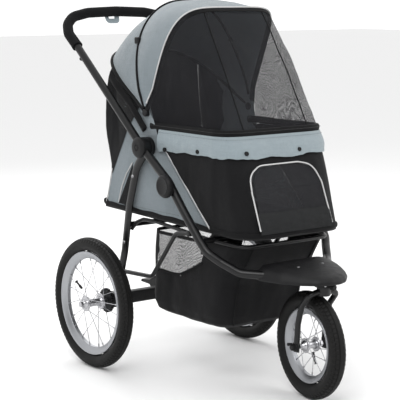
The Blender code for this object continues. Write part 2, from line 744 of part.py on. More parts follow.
BOWS = {
    "canopy_bow_rear": Bow(0.188, 0.340, 3.2, 60, 60, 0.1925),
    "canopy_bow_middle": Bow(0.205, 0.330, 2.4, 20, 12.6, 0.1980),
    "canopy_bow_front": Bow(0.190, 0.341, 5.5, -21, -27, 0.2035),
}


def bow_shares(count):
    """Shares along an arch, closer together round its shoulders."""
    return [0.5 - 0.5 * cos(pi * (0.04 + 0.92 * step / (count - 1))) for step in range(count)]


def canopy_bows():
    for name, bow in BOWS.items():
        feet = [bow.point(share) for share in (0.0, 1.0)]
        inner = [bow.point(share, BOW_START + 0.02) for share in bow_shares(17)]
        tube(name, [feet[0]] + inner + [feet[1]], BOW_R, "black_tube", (0, *PIVOT),
             resolution=1)
    for side, word in SIDES:
        profile = [(0, 0.016), (0.009, 0.016), (0.0115, 0.013), (0.0115, 0), (0, 0)]
        turned("canopy_pivot_" + word, profile, "black_plastic",
               (side * (CABIN_X + 0.003), *PIVOT), (0, side * pi / 2, 0), steps=16)


def loft(name, rows, finish, thick=0.0015):
    """A thin fabric panel through rows of points."""
    bm = bmesh.new()
    grid = [[bm.verts.new(point) for point in row] for row in rows]
    for lower, upper in zip(grid, grid[1:]):
        for index in range(len(lower) - 1):
            bm.faces.new((lower[index], lower[index + 1], upper[index + 1], upper[index]))
    mesh = bpy.data.meshes.new(name)
    bm.to_mesh(mesh)
    bm.free()
    panel = add(name, mesh, finish)
    skin = panel.modifiers.new("skin", "SOLIDIFY")
    skin.thickness = thick
    skin.offset = 0


def bow_panel(name, behind, ahead, finish, margin=3.5):
    """Fabric stretched from one bow to the next, short of both by a few degrees."""
    rear, front = BOWS[behind], BOWS[ahead]
    shares = bow_shares(15)
    low = 0.045
    first = [rear.point(share, low, -margin) for share in shares]
    last = [front.point(share, low, margin) for share in shares]
    rows = [[a.lerp(b, step / 3) for a, b in zip(first, last)] for step in range(4)]
    loft(name, rows, finish)


def canopy_fabric():
    bow_panel("canopy_rear_panel", "canopy_bow_rear", "canopy_bow_middle", "grey_fabric")
    bow_panel("canopy_top_panel", "canopy_bow_middle", "canopy_bow_front", "grey_fabric")
    front = BOWS["canopy_bow_front"]
    upper = [front.point(share, 0.045, -3.5) for share in bow_shares(15)]
    plan = front_plan(CABIN_X - 0.002, -0.20, FLOOR_FRONT_Y + 0.008)
    plan = [Vector(lean(point, RIM_Z)) for point in plan]
    lengths = [0.0]
    for first, second in zip(plan, plan[1:]):
        lengths.append(lengths[-1] + (second - first).length)
    lower = []
    for step in range(len(upper)):
        target = lengths[-1] * step / (len(upper) - 1)
        index = max(i for i, length in enumerate(lengths[:-1]) if length <= target)
        share = (target - lengths[index]) / (lengths[index + 1] - lengths[index])
        spot = plan[index].lerp(plan[index + 1], min(share, 1.0))
        lower.append(Vector((spot.x, spot.y, RIM_Z + 0.0185)))
    rows = [[a.lerp(b, step / 4) for a, b in zip(upper, lower)] for step in range(5)]
    loft("canopy_mesh", rows, "mesh_fabric")


# Assembly ----------------------------------------------------------------------------

SIDES = ((-1, "right"), (1, "left"))

for hand, hand_name in SIDES:
    rear_wheel(hand, hand_name)
    front_tube(hand, hand_name)
    rear_leg(hand, hand_name)
    hinge_hardware(hand, hand_name)
    fold_knob(hand, hand_name)
    brace(hand, hand_name)
front_wheel()
fork()
fork_head()
swivel_lock()
front_cover()
cross_tubes()
rear_axle()
brake()
handle()
fold_buttons()
cabin()
basket()
canopy_bows()
canopy_fabric()

for part in PARTS.objects:
    if part.type == "MESH":
        smooth(part)
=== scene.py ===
"""Three-wheel pet stroller: fabric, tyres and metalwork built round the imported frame.

Metres, +Z up, the front towards -Y. Places along Y are measured from the rear axle.
Right is -X, left is +X.
"""
import bmesh
import bpy
from math import ceil, cos, hypot, pi, radians, sin, tan
from mathutils import Matrix, Vector, noise


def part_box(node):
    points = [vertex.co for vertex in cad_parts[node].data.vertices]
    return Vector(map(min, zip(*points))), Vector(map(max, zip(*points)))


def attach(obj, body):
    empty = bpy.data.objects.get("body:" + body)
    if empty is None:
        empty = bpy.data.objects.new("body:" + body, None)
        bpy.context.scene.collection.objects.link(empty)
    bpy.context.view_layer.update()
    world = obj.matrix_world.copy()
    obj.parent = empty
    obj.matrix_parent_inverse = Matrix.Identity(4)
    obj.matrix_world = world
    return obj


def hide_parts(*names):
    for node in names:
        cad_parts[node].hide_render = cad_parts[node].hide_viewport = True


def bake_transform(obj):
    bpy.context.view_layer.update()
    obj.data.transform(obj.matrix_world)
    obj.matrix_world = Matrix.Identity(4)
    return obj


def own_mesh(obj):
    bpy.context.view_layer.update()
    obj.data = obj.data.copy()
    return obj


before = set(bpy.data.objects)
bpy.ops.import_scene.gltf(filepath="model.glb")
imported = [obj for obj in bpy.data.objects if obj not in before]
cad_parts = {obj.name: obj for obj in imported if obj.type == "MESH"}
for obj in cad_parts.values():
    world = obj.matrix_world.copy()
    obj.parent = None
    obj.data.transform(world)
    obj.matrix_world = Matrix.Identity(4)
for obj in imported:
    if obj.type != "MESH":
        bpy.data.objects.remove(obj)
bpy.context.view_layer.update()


def middle(node):
    low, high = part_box(node)
    return (low + high) / 2


def size(node):
    low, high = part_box(node)
    return high - low


AXLE = middle("rear_tyre_right")
HINGE = middle("hinge_cap_right")
PIVOT = middle("canopy_pivot_right")
REAR_R = size("rear_tyre_right").z / 2
REAR_HALF = size("rear_tyre_right").x / 2
FRONT_R = size("front_tyre").z / 2
FRONT_HALF = 0.024
FRONT_TURN = radians(-8)
TUBE_R = 0.0125
HANDLE_R = 0.0118
GRIP_R = 0.0163
CAP_X = 0.2383
LINK_X = 0.2193
LEG_X = 0.2055
TUBE_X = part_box("hinge_cap_left")[0].x - 0.0128
CABIN_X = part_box("cabin_side_left")[1].x
RIM_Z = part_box("cabin_front")[1].z
BASKET_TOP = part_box("basket")[1].z
COVER_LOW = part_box("front_cover")[0].z
SIDE_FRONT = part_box("cabin_side_left")[0].y - AXLE.y
FRONT_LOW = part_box("cabin_front")[0].y - AXLE.y + 0.0015
FRONT_SHIFT = 0.094
FRONT_TAPER = 0.105
CORNER = 0.070
FLOOR_REAR_Y = 0.085
FLOOR_REAR_Z = 0.487
FLOOR_SLOPE = 0.024
WALL_LOW = 0.472
SLANT_Y = -0.246
SLANT_Z = 0.668
SLANT_RATIO = 1.026
WINDOW_LOW = 0.530
WINDOW_TOP = 0.655
WINDOW_HALF = 0.128
FLAP_LOW = 0.476
FLAP_HALF = 0.134
SIDES = ((-1, "right"), (1, "left"))


def at(x, y, z):
    """A point given from the rear axle along Y."""
    return Vector((x, AXLE.y + y, z))


def floor_z(y):
    """The height of the cabin's lower edge, which falls a little towards the front."""
    return FLOOR_REAR_Z + FLOOR_SLOPE * (y - FLOOR_REAR_Y)


# Geometry helpers ---------------------------------------------------------------------

def rounded(points, radius, steps=6):
    """The path through the points with an arc in place of each inner corner."""
    points = [Vector(point) for point in points]
    path = [points[0]]
    last = len(points) - 2
    for index, (before, corner, after) in enumerate(zip(points, points[1:], points[2:]), 1):
        back = before - corner
        ahead = after - corner
        half = back.angle(ahead) / 2
        room_back = back.length * (0.98 if index == 1 else 0.49)
        room_ahead = ahead.length * (0.98 if index == last else 0.49)
        reach = min(radius / tan(half), room_back, room_ahead)
        back.normalize()
        ahead.normalize()
        centre = corner + (back + ahead).normalized() * hypot(reach, reach * tan(half))
        start = corner + back * reach - centre
        end = corner + ahead * reach - centre
        path += [centre + start.slerp(end, step / steps) * start.length
                 for step in range(steps + 1)]
    path.append(points[-1])
    return path


def evenly(path, gap):
    """The same path with points about one gap apart."""
    lengths = [0.0]
    for first, second in zip(path, path[1:]):
        lengths.append(lengths[-1] + (second - first).length)
    count = max(2, ceil(lengths[-1] / gap))
    spots = []
    index = 0
    for step in range(count + 1):
        target = lengths[-1] * step / count
        while index < len(path) - 2 and lengths[index + 1] < target:
            index += 1
        span = lengths[index + 1] - lengths[index]
        share = (target - lengths[index]) / span if span else 0
        spots.append(path[index].lerp(path[index + 1], min(share, 1.0)))
    return spots


def sweep(bm, path, wide, tall=None, sides=16, closed=False, across=None):
    """A round or oval bar along a path; across is the way its width lies at the start."""
    tall = wide if tall is None else tall
    layer = bm.loops.layers.uv.verify()
    points = [Vector(point) for point in path]
    count = len(points)
    side = Vector(across) if across else None
    rings = []
    lengths = [0.0]
    for index, point in enumerate(points):
        before = points[index - 1] if index or closed else point
        after = points[(index + 1) % count] if index < count - 1 or closed else point
        ahead = (after - before).normalized()
        if side is None:
            side = ahead.orthogonal()
        side = (side - ahead * side.dot(ahead)).normalized()
        up = ahead.cross(side)
        turns = [2 * pi * step / sides for step in range(sides)]
        rings.append([bm.verts.new(point + side * (wide * cos(t)) + up * (tall * sin(t)))
                      for t in turns])
        if index:
            lengths.append(lengths[-1] + (point - points[index - 1]).length)
    pairs = list(zip(range(count - 1), range(1, count)))
    if closed:
        pairs.append((count - 1, 0))
    for low, high in pairs:
        for step in range(sides):
            other = (step + 1) % sides
            face = bm.faces.new((rings[low][step], rings[low][other],
                                 rings[high][other], rings[high][step]))
            round_low = 2 * pi * step / sides * wide
            round_high = 2 * pi * (step + 1) / sides * wide
            far = lengths[low] + (points[high] - points[low]).length
            places = ((lengths[low], round_low), (lengths[low], round_high),
                      (far, round_high), (far, round_low))
            for loop, place in zip(face.loops, places):
                loop[layer].uv = place
    if not closed:
        bm.faces.new(rings[0])
        bm.faces.new(rings[-1])


def lathe(bm, profile, place, steps=32, closed=False):
    """A turned solid round the local X axis; the profile lists radius and reach along X."""
    rings = []
    for radius, reach in profile:
        if radius < 1e-6:
            rings.append([bm.verts.new(place @ Vector((reach, 0, 0)))])
            continue
        turns = [2 * pi * step / steps for step in range(steps)]
        rings.append([bm.verts.new(place @ Vector((reach, radius * cos(t), radius * sin(t))))
                      for t in turns])
    pairs = list(zip(rings, rings[1:]))
    if closed:
        pairs.append((rings[-1], rings[0]))
    for first, second in pairs:
        for step in range(steps):
            other = (step + 1) % steps
            if len(first) == 1:
                bm.faces.new((first[0], second[other], second[step]))
            elif len(second) == 1:
                bm.faces.new((first[step], first[other], second[0]))
            else:
                bm.faces.new((first[step], first[other], second[other], second[step]))


def slice_of(bm, outline, low_x, high_x, bevel=0.001):
    """A flat piece with its outline in Y and Z, its thickness along X, its edges broken."""
    faces = [bm.faces.new([bm.verts.new(at(low_x, y, z)) for y, z in outline])]
    grown = bmesh.ops.extrude_face_region(bm, geom=faces)["geom"]
    verts = [item for item in grown if isinstance(item, bmesh.types.BMVert)]
    bmesh.ops.translate(bm, vec=(high_x - low_x, 0, 0), verts=verts)
    edges = {edge for vert in verts for edge in vert.link_edges}
    edges |= set(faces[0].edges)
    bmesh.ops.bevel(bm, geom=list(edges), offset=bevel, offset_type="OFFSET", segments=2,
                    profile=0.5, affect="EDGES", material=-1)


def block(bm, low, high, bevel=0.002):
    """A block between two corners with its edges broken."""
    low, high = Vector(low), Vector(high)
    made = bmesh.ops.create_cube(bm, size=1)["verts"]
    bmesh.ops.scale(bm, vec=high - low, verts=made)
    bmesh.ops.translate(bm, vec=(low + high) / 2, verts=made)
    edges = list({edge for vert in made for edge in vert.link_edges})
    bmesh.ops.bevel(bm, geom=edges, offset=bevel, offset_type="OFFSET", segments=3,
                    profile=0.5, affect="EDGES", material=-1)


def cloth(bm, rows, choose=None, closed=False):
    """A woven surface through rows of points, with its threads' lengths as a map."""
    layer = bm.loops.layers.uv.verify()
    grid = [[bm.verts.new(point) for point in row] for row in rows]
    count = len(rows[0])
    centre = rows[len(rows) // 2]
    along = [0.0]
    for first, second in zip(centre, list(centre[1:]) + [centre[0]]):
        along.append(along[-1] + (second - first).length)
    half = count // 2
    up = [0.0]
    for first, second in zip(rows, rows[1:]):
        up.append(up[-1] + (second[half] - first[half]).length)
    for row in range(len(rows) - 1):
        for col in range(count if closed else count - 1):
            other = (col + 1) % count
            face = bm.faces.new((grid[row][col], grid[row][other],
                                 grid[row + 1][other], grid[row + 1][col]))
            if choose:
                face.material_index = choose(face.calc_center_median())
            spots = ((along[col], up[row]), (along[col + 1], up[row]),
                     (along[col + 1], up[row + 1]), (along[col], up[row + 1]))
            for loop, spot in zip(face.loops, spots):
                loop[layer].uv = spot
    return grid


def ripple(point, length, stretch=(1, 1, 1), seed=0.0):
    """Soft uneven folds about one length apart, from -1 to 1."""
    spot = Vector((point.x * stretch[0], point.y * stretch[1], point.z * stretch[2]))
    return noise.fractal(spot / length + Vector((seed, seed * 0.7, seed * 1.3)), 0.7, 2.1, 3)


def piece(name, bm, finishes, body, stands_for=(), sharp=35, turned=True):
    """The finished mesh as an object that moves with a body of the frame."""
    if turned:
        bmesh.ops.recalc_face_normals(bm, faces=bm.faces)
    mesh = bpy.data.meshes.new(name)
    bm.to_mesh(mesh)
    bm.free()
    finishes = finishes if isinstance(finishes, (list, tuple)) else [finishes]
    for finish in finishes:
        mesh.materials.append(finish)
    mesh.shade_smooth()
    mesh.set_sharp_from_angle(angle=radians(sharp))
    obj = bpy.data.objects.new(name, mesh)
    bpy.context.scene.collection.objects.link(obj)
    if body:
        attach(obj, body)
    if stands_for:
        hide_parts(*stands_for)
    return obj


# Materials ----------------------------------------------------------------------------

def plug(tree, item, socket):
    if isinstance(item, Value):
        tree.links.new(item.socket, socket)
    else:
        socket.default_value = item


class Value:
    """One socket of a material; sums and products of values become math nodes."""

    def __init__(self, tree, socket):
        self.tree = tree
        self.socket = socket

    def math(self, operation, *others):
        made = self.tree.nodes.new("ShaderNodeMath")
        made.operation = operation
        for socket, item in zip(made.inputs, (self, *others)):
            plug(self.tree, item, socket)
        return Value(self.tree, made.outputs[0])

    def __add__(self, other):
        return self.math("ADD", other)

    def __sub__(self, other):
        return self.math("SUBTRACT", other)

    def __mul__(self, other):
        return self.math("MULTIPLY", other)

    def __truediv__(self, other):
        return self.math("DIVIDE", other)

    def __rsub__(self, other):
        return self.math("MULTIPLY", -1.0).math("ADD", other)

    __radd__ = __add__
    __rmul__ = __mul__


class Finish:
    """A material being made: its main shader and one way to add any other node."""

    def __init__(self, name, colour, roughness, metallic=0.0, **sockets):
        self.material = bpy.data.materials.new(name)
        self.material.use_nodes = True
        self.tree = self.material.node_tree
        self.main = self.tree.nodes["Principled BSDF"]
        self.feed("Base Color", (*colour, 1))
        self.feed("Roughness", roughness)
        self.feed("Metallic", metallic)
        for label, value in sockets.items():
            self.feed(label.replace("_", " "), value)

    def feed(self, label, item):
        plug(self.tree, item, self.main.inputs[label])

    def node(self, kind, inputs=None, output=0, **settings):
        made = self.tree.nodes.new("ShaderNode" + kind)
        for label, value in settings.items():
            setattr(made, label, value)
        for label, item in (inputs or {}).items():
            plug(self.tree, item, made.inputs[label])
        return Value(self.tree, made.outputs[output])

    def place(self):
        return self.node("TexCoord", output=3)

    def threads(self):
        """The cloth's own map in metres, as two values."""
        lengths = self.node("SeparateXYZ", {"Vector": self.node("TexCoord", output=2)})
        split = lengths.socket.node
        return lengths, Value(self.tree, split.outputs[1])

    def grain(self, where, scale, detail=3.0, stretch=None):
        if stretch:
            where = self.node("Mapping", {"Vector": where, "Scale": stretch})
        return self.node("TexNoise", {"Vector": where, "Scale": scale, "Detail": detail})

    def shades(self, share, first, second):
        return self.node("Mix", {0: share, 6: (*first, 1), 7: (*second, 1)}, output=2,
                         data_type="RGBA")

    def relief(self, height, distance, strength=1.0):
        self.feed("Normal", self.node("Bump", {"Height": height, "Distance": distance,
                                               "Strength": strength}))


def waves(value, pitch):
    return (value * (2 * pi / pitch)).math("SINE")


def woven(name, dark, light, pitch=0.0012, roughness=0.8, sheen=0.25, crease=0.0012):
    """Plain weave cloth with uneven threads, faint creases and a little wear."""
    made = Finish(name, light, roughness, Sheen_Weight=sheen, Sheen_Roughness=0.5,
                  Specular_IOR_Level=0.15)
    across, along = made.threads()
    weave = waves(across, pitch) * waves(along, pitch)
    where = made.place()
    slubs = made.grain(where, 260, 2, (1.0, 1.0, 0.1)) * 0.5
    slubs = slubs + made.grain(where, 260, 2, (0.1, 0.1, 1.0)) * 0.5
    wear = made.grain(where, 9, 5)
    share = (weave * 0.18 + slubs * 0.9 + wear * 0.55 - 0.35).math("MAXIMUM", 0.0)
    made.feed("Base Color", made.shades(share.math("MINIMUM", 1.0), dark, light))
    made.feed("Roughness", wear * 0.25 + (roughness - 0.12))
    folds = made.grain(where, 28, 4)
    made.relief(weave * 0.08 + slubs * 0.25 + folds * 1.6, crease)
    return made.material


def netting(name, colour, pitch, cover, roughness=0.6):
    """Knitted mesh: round holes in offset rows, cover is the share that is thread."""
    made = Finish(name, colour, roughness, Specular_IOR_Level=0.15)
    across, along = made.threads()
    holes = waves(across, pitch) * waves(along, pitch)
    where = made.place()
    pull = made.grain(where, 14, 3)
    solid = (holes.math("ABSOLUTE") * -3.0 + 3.0 * cover + pull * 0.9).math("MAXIMUM", 0.0)
    made.feed("Alpha", solid.math("MINIMUM", 1.0))
    light = tuple(channel * 1.8 for channel in colour)
    made.feed("Base Color", made.shades(made.grain(where, 120, 2), colour, light))
    made.relief(holes + pull * 2, 0.0004)
    return made.material


def powder_coat():
    """Satin black paint with a faint orange peel and rubbed spots."""
    made = Finish("powder_coat", (0.012, 0.012, 0.013), 0.32, Coat_Weight=0.08,
                  Coat_Roughness=0.2, Specular_IOR_Level=0.3)
    where = made.place()
    peel = made.grain(where, 900, 2)
    rubbed = made.grain(where, 16, 6)
    made.feed("Roughness", rubbed * 0.28 + 0.2)
    made.feed("Base Color", made.shades(rubbed * 0.6, (0.0025, 0.0025, 0.003),
                                        (0.008, 0.008, 0.0085)))
    made.relief(peel + rubbed * 0.4, 0.0002)
    return made.material


def moulded():
    """Black nylon with a spark-eroded grain and paler scuffs."""
    made = Finish("moulded_nylon", (0.010, 0.010, 0.011), 0.5, Specular_IOR_Level=0.25)
    where = made.place()
    grit = made.grain(where, 1400, 3)
    scuffs = made.grain(where, 30, 8, (1, 3, 1))
    made.feed("Base Color", made.shades(scuffs * 0.7, (0.003, 0.003, 0.0035),
                                        (0.011, 0.011, 0.012)))
    made.feed("Roughness", scuffs * 0.3 + 0.36)
    made.relief(grit, 0.0003)
    return made.material


def foam():
    """Closed-cell foam with open pores on its skin."""
    made = Finish("grip_foam", (0.012, 0.012, 0.013), 0.9, Specular_IOR_Level=0.15)
    where = made.place()
    pores = made.node("TexVoronoi", {"Vector": where, "Scale": 700.0})
    marks = made.grain(where, 24, 5)
    made.feed("Base Color", made.shades(marks * 0.8, (0.003, 0.003, 0.0035),
                                        (0.011, 0.011, 0.012)))
    made.relief(pores + marks * 0.8, 0.0006)
    return made.material


def rubber():
    """Tyre rubber: mould lines, a dusty bloom and finer grain."""
    made = Finish("tyre_rubber", (0.010, 0.010, 0.010), 0.7, Specular_IOR_Level=0.2)
    where = made.place()
    dust = made.grain(where, 22, 7)
    grit = made.grain(where, 1100, 3)
    made.feed("Base Color", made.shades(dust * 0.7, (0.003, 0.003, 0.003),
                                        (0.012, 0.0115, 0.011)))
    made.feed("Roughness", dust * 0.35 + 0.42)
    made.relief(grit + dust, 0.0003)
    return made.material


def bright_metal(name, colour, roughness, scale, stretch):
    """Metal with fine streaks, soft smudges and small pits."""
    made = Finish(name, colour, roughness, 1.0)
    where = made.place()
    streaks = made.grain(where, scale, 3, stretch)
    smudges = made.grain(where, 18, 5)
    made.feed("Roughness", streaks * 0.12 + smudges * 0.25 + (roughness - 0.12))
    dull = tuple(channel * 0.72 for channel in colour)
    made.feed("Base Color", made.shades(smudges, dull, colour))
    made.relief(streaks, 0.0001)
    return made.material


GREY = woven("grey_oxford", (0.150, 0.176, 0.192), (0.235, 0.275, 0.297), roughness=0.72)
PALE = woven("grey_flap", (0.205, 0.245, 0.265), (0.300, 0.355, 0.380), roughness=0.72)
BLACK = woven("black_oxford", (0.0035, 0.0035, 0.0040), (0.0095, 0.0095, 0.0105), sheen=0.04)
BINDING = woven("black_binding", (0.002, 0.002, 0.0025), (0.007, 0.007, 0.0075),
                pitch=0.0018, sheen=0.04, crease=0.0006)
PIPING = woven("silver_piping", (0.42, 0.42, 0.42), (0.62, 0.62, 0.62), pitch=0.0009,
               roughness=0.5, sheen=0.1, crease=0.0002)
THREAD = woven("grey_thread", (0.03, 0.03, 0.03), (0.07, 0.07, 0.07), pitch=0.0006,
               crease=0.0001)
MESH = netting("canopy_mesh_net", (0.014, 0.014, 0.016), pitch=0.0034, cover=0.46)
WINDOW = netting("window_net", (0.016, 0.016, 0.018), pitch=0.0030, cover=0.62)
BASKET_NET = netting("basket_net", (0.018, 0.018, 0.019), pitch=0.0036, cover=0.42)
PAINT = powder_coat()
PLASTIC = moulded()
FOAM = foam()
RUBBER = rubber()
RIM = bright_metal("rim_alloy", (0.42, 0.43, 0.45), 0.35, 300, (0.05, 1, 1))
CHROME = bright_metal("chrome", (0.52, 0.52, 0.54), 0.22, 400, (1, 0.1, 0.1))
STEEL = bright_metal("zinc_steel", (0.36, 0.36, 0.37), 0.38, 500, (1, 1, 0.1))


# Stitching ----------------------------------------------------------------------------

def stitches(bm, path, pitch=0.0065, radius=0.0005):
    """A row of short raised thread dashes along a seam."""
    spots = evenly([Vector(point) for point in path], pitch / 2)
    for first, second in zip(spots[0::2], spots[1::2]):
        sweep(bm, [first, second], radius, sides=4)


# Wheels -------------------------------------------------------------------------------

def tread(step, angle):
    """How far the tread stands below its full height, round the tyre and across it."""
    away = abs(angle)
    if 14 < away < 19 or 42 < away < 46:
        return -0.0016
    if away <= 14:
        return 0.0
    phase = (step + (2 if angle > 0 else 0)) % 5
    if 19 <= away <= 42:
        return -0.0014 if phase == 0 else 0.0
    if 46 <= away <= 66:
        return -0.0016 if phase in (2, 3) else 0.0
    return -0.0006


TREAD_ANGLES = (-150, -125, -100, -92, -88, -78, -70, -67, -65, -47, -45, -43, -41, -30,
                -20, -18, -15, -13, 0)


def tyre(name, radius, half, inner, place, blocks, body):
    """A closed ring whose section carries the tread; blocks is the count round it."""
    bm = bmesh.new()
    centre = (radius + inner) / 2
    tall = (radius - inner) / 2
    angles = list(TREAD_ANGLES) + [-angle for angle in reversed(TREAD_ANGLES[:-1])]
    rings = []
    for step in range(blocks * 5):
        turn = 2 * pi * step / (blocks * 5)
        ring = []
        for angle in angles:
            depth = tread(step, angle)
            bend = radians(angle)
            reach = centre + (tall + depth) * cos(bend)
            side = (half + depth) * sin(bend)
            ring.append(bm.verts.new(place @ Vector((side, reach * sin(turn),
                                                     reach * cos(turn)))))
        rings.append(ring)
    for first, second in zip(rings, rings[1:] + rings[:1]):
        for index in range(len(angles) - 1):
            bm.faces.new((first[index], first[index + 1], second[index + 1],
                          second[index]))
    return piece(name, bm, RUBBER, body, [name.replace("_rubber", "")], 30)


def rim(name, node, outer, depth, half, place, body):
    """A deep single-wall rim with rolled edges and a spoke bed."""
    bm = bmesh.new()
    inner = outer - depth
    profile = [(outer + 0.0015, half + 0.0010), (outer + 0.0025, half - 0.0010),
               (outer - 0.002, half - 0.0025), (outer - 0.004, 0),
               (outer - 0.002, 0.0025 - half), (outer + 0.0025, 0.0010 - half),
               (outer + 0.0015, -half - 0.0010), (outer - 0.002, -half - 0.0012),
               (outer - 0.45 * depth, -0.86 * half), (inner + 0.002, -0.52 * half),
               (inner, -0.36 * half), (inner, 0.36 * half), (inner + 0.002, 0.52 * half),
               (outer - 0.45 * depth, 0.86 * half), (outer - 0.002, half + 0.0012)]
    lathe(bm, profile, place, 96, True)
    return piece(name, bm, RIM, body, [node], 30)


def spokes(bm, flange, flange_r, reach, count, place, cross=38):
    """Crossed spokes from both flanges to the rim, a nipple at the end of each."""
    for side in (-1, 1):
        for index in range(count):
            angle = 2 * pi * (index + 0.25 * side) / count
            lean = radians(cross) * (1 if index % 2 else -1)
            start = Vector((side * (flange + (0.0022 if index % 2 else -0.0022)),
                            flange_r * sin(angle), flange_r * cos(angle)))
            end = Vector((side * 0.002, reach * sin(angle + lean),
                          reach * cos(angle + lean)))
            base = end + (start - end).normalized() * 0.012
            sweep(bm, [place @ start, place @ end], 0.00105, sides=6)
            sweep(bm, [place @ base, place @ end], 0.0021, sides=6)


def hub_shell(bm, flange, flange_r, barrel, shaft, top, bottom, place):
    """A turned shell with two dished flanges, end cones, an axle and its nuts."""
    profile = [(0, top), (shaft * 0.55, top), (shaft * 0.6, top - 0.001),
               (shaft * 0.6, flange + 0.013), (shaft, flange + 0.012),
               (shaft * 1.25, flange + 0.0075), (barrel, flange + 0.0055),
               (barrel * 1.15, flange + 0.0022), (flange_r - 0.001, flange + 0.0022),
               (flange_r, flange + 0.001), (flange_r, flange - 0.001),
               (flange_r - 0.001, flange - 0.0022), (barrel * 1.1, flange - 0.0025),
               (barrel * 0.86, flange - 0.007), (barrel * 0.8, 0.0)]
    back = [(radius, -reach) for radius, reach in reversed(profile[4:-1])]
    back += [(shaft * 0.9, -flange - 0.013), (shaft * 0.9, bottom), (0, bottom)]
    lathe(bm, profile + back, place, 40)
    nut = [(0, 0), (0.0095, 0), (0.0095, 0.007), (0, 0.007)]
    lathe(bm, nut, place @ Matrix.Translation((flange + 0.0125, 0, 0)), 6)


def valve(name, inner, place, body):
    """A capped valve stem that stands on the inside of the rim."""
    bm = bmesh.new()
    turn = place @ Matrix.Translation((0, 0, inner + 0.002)) @ Matrix.Rotation(
        radians(90), 4, "Y")
    lathe(bm, [(0, 0.034), (0.0032, 0.034), (0.0042, 0.032), (0.0042, 0.020),
               (0.0030, 0.018), (0.0030, 0.002), (0.0055, 0), (0, 0)], turn, 12)
    return piece(name, bm, PLASTIC, body)


def rear_wheel(side, word):
    """Tyre, rim, spoked hub and valve; the long end of the hub points inwards."""
    place = Matrix.Translation(middle("rear_tyre_" + word))
    if side < 0:
        place = place @ Matrix.Rotation(pi, 4, "Z")
    body = "rear_wheel_" + word
    tyre(f"rear_tyre_{word}_rubber", REAR_R, REAR_HALF, inner=0.1568, place=place,
         blocks=88, body=body)
    rim(f"rear_rim_{word}_alloy", "rear_rim_" + word, outer=0.1565, depth=0.020,
        half=0.0145, place=place, body=body)
    bm = bmesh.new()
    spokes(bm, flange=0.027, flange_r=0.0215, reach=0.1385, count=10, place=place)
    hub_shell(bm, flange=0.027, flange_r=0.024, barrel=0.0150, shaft=0.009, top=0.043,
              bottom=-0.0565, place=place)
    piece(f"rear_hub_{word}_turned", bm, CHROME, body, ["rear_hub_" + word])
    turn = place @ Matrix.Rotation(radians(62), 4, "X")
    valve(f"valve_{word}", 0.1365 - 0.034, turn, body)


def front_wheel():
    """The small wheel, turned a little on its swivel."""
    place = Matrix.Translation(middle("front_tyre")) @ Matrix.Rotation(FRONT_TURN, 4, "Z")
    tyre("front_tyre_rubber", FRONT_R, FRONT_HALF, inner=0.106, place=place, blocks=66,
         body="front_wheel")
    rim("front_rim_alloy", "front_rim", outer=0.1057, depth=0.018, half=0.0150,
        place=place, body="front_wheel")
    bm = bmesh.new()
    spokes(bm, flange=0.018, flange_r=0.0190, reach=0.0900, count=8, place=place)
    hub_shell(bm, flange=0.018, flange_r=0.021, barrel=0.0130, shaft=0.008, top=0.0380,
              bottom=-0.0380, place=place)
    piece("front_hub_turned", bm, CHROME, "front_wheel", ["front_hub"])
    turn = place @ Matrix.Rotation(radians(150), 4, "X")
    valve("valve_front", 0.0878 - 0.034, turn, "front_wheel")


# Fork, fork head and cover ------------------------------------------------------------

def caster_place():
    """The swivel axis, turned as the front wheel stands."""
    swivel = middle("fork_head")
    return Matrix.Translation((0, swivel.y, 0)) @ Matrix.Rotation(FRONT_TURN, 4, "Z")


def fork():
    """A bent tube with flattened ends, a crown plate, the swivel pin and axle nuts."""
    place = caster_place()
    trail = 0.062
    bridge = 0.319
    half = [(0.047, trail, FRONT_R - 0.004), (0.047, trail - 0.006, 0.220),
            (0.047, trail - 0.022, 0.272), (0.045, 0.004, 0.310), (0.026, 0, bridge)]
    path = rounded(half + [(-x, y, z) for x, y, z in reversed(half)], 0.030, 8)
    bm = bmesh.new()
    sweep(bm, [place @ point for point in path], 0.0085, sides=20)
    upright = place @ Matrix.Translation((0, 0, bridge)) @ Matrix.Rotation(-pi / 2, 4, "Y")
    lathe(bm, [(0, -0.011), (0.017, -0.011), (0.020, -0.006), (0.020, 0.0135),
               (0.010, 0.014), (0.008, 0.023), (0, 0.023)], upright, 32)
    for side in (-1, 1):
        ear = [(side * 0.047, trail, FRONT_R + 0.014), (side * 0.047, trail, FRONT_R - 0.014)]
        sweep(bm, [place @ Vector(point) for point in ear], 0.0048, 0.0130, 16,
              across=place.to_3x3() @ Vector((1, 0, 0)))
    piece("fork_tube", bm, PAINT, "caster", ["fork"])
    bm = bmesh.new()
    for side in (-1, 1):
        outward = place @ Matrix.Translation((side * 0.0515, trail, FRONT_R))
        if side < 0:
            outward = outward @ Matrix.Rotation(pi, 4, "Z")
        lathe(bm, [(0, 0.015), (0.006, 0.015), (0.0085, 0.0125), (0.0095, 0.004),
                   (0.0135, 0.003), (0.0135, 0), (0, 0)], outward, 24)
        hook = [(side * 0.053, trail + 0.018, FRONT_R + 0.004),
                (side * 0.058, trail + 0.028, FRONT_R + 0.002)]
        if side < 0:
            sweep(bm, [place @ Vector((side * 0.062, trail, FRONT_R))] +
                  [place @ Vector(point) for point in hook], 0.0045, sides=12)
    piece("axle_nuts", bm, PLASTIC, "caster")


def cover_outline():
    """The cover from above, one side mirrored to the other."""
    half = [(0.128, -0.562), (0.133, -0.600), (0.117, -0.660), (0.086, -0.715),
            (0.046, -0.752), (0.015, -0.764)]
    flat = half + [(-x, y) for x, y in reversed(half)]
    loop = [Vector((0, half[0][1], 0))] + [Vector((x, y, 0)) for x, y in flat]
    loop.append(Vector((0, half[0][1], 0)))
    return evenly(rounded(loop, 0.03, 6), 0.006)[:-1]


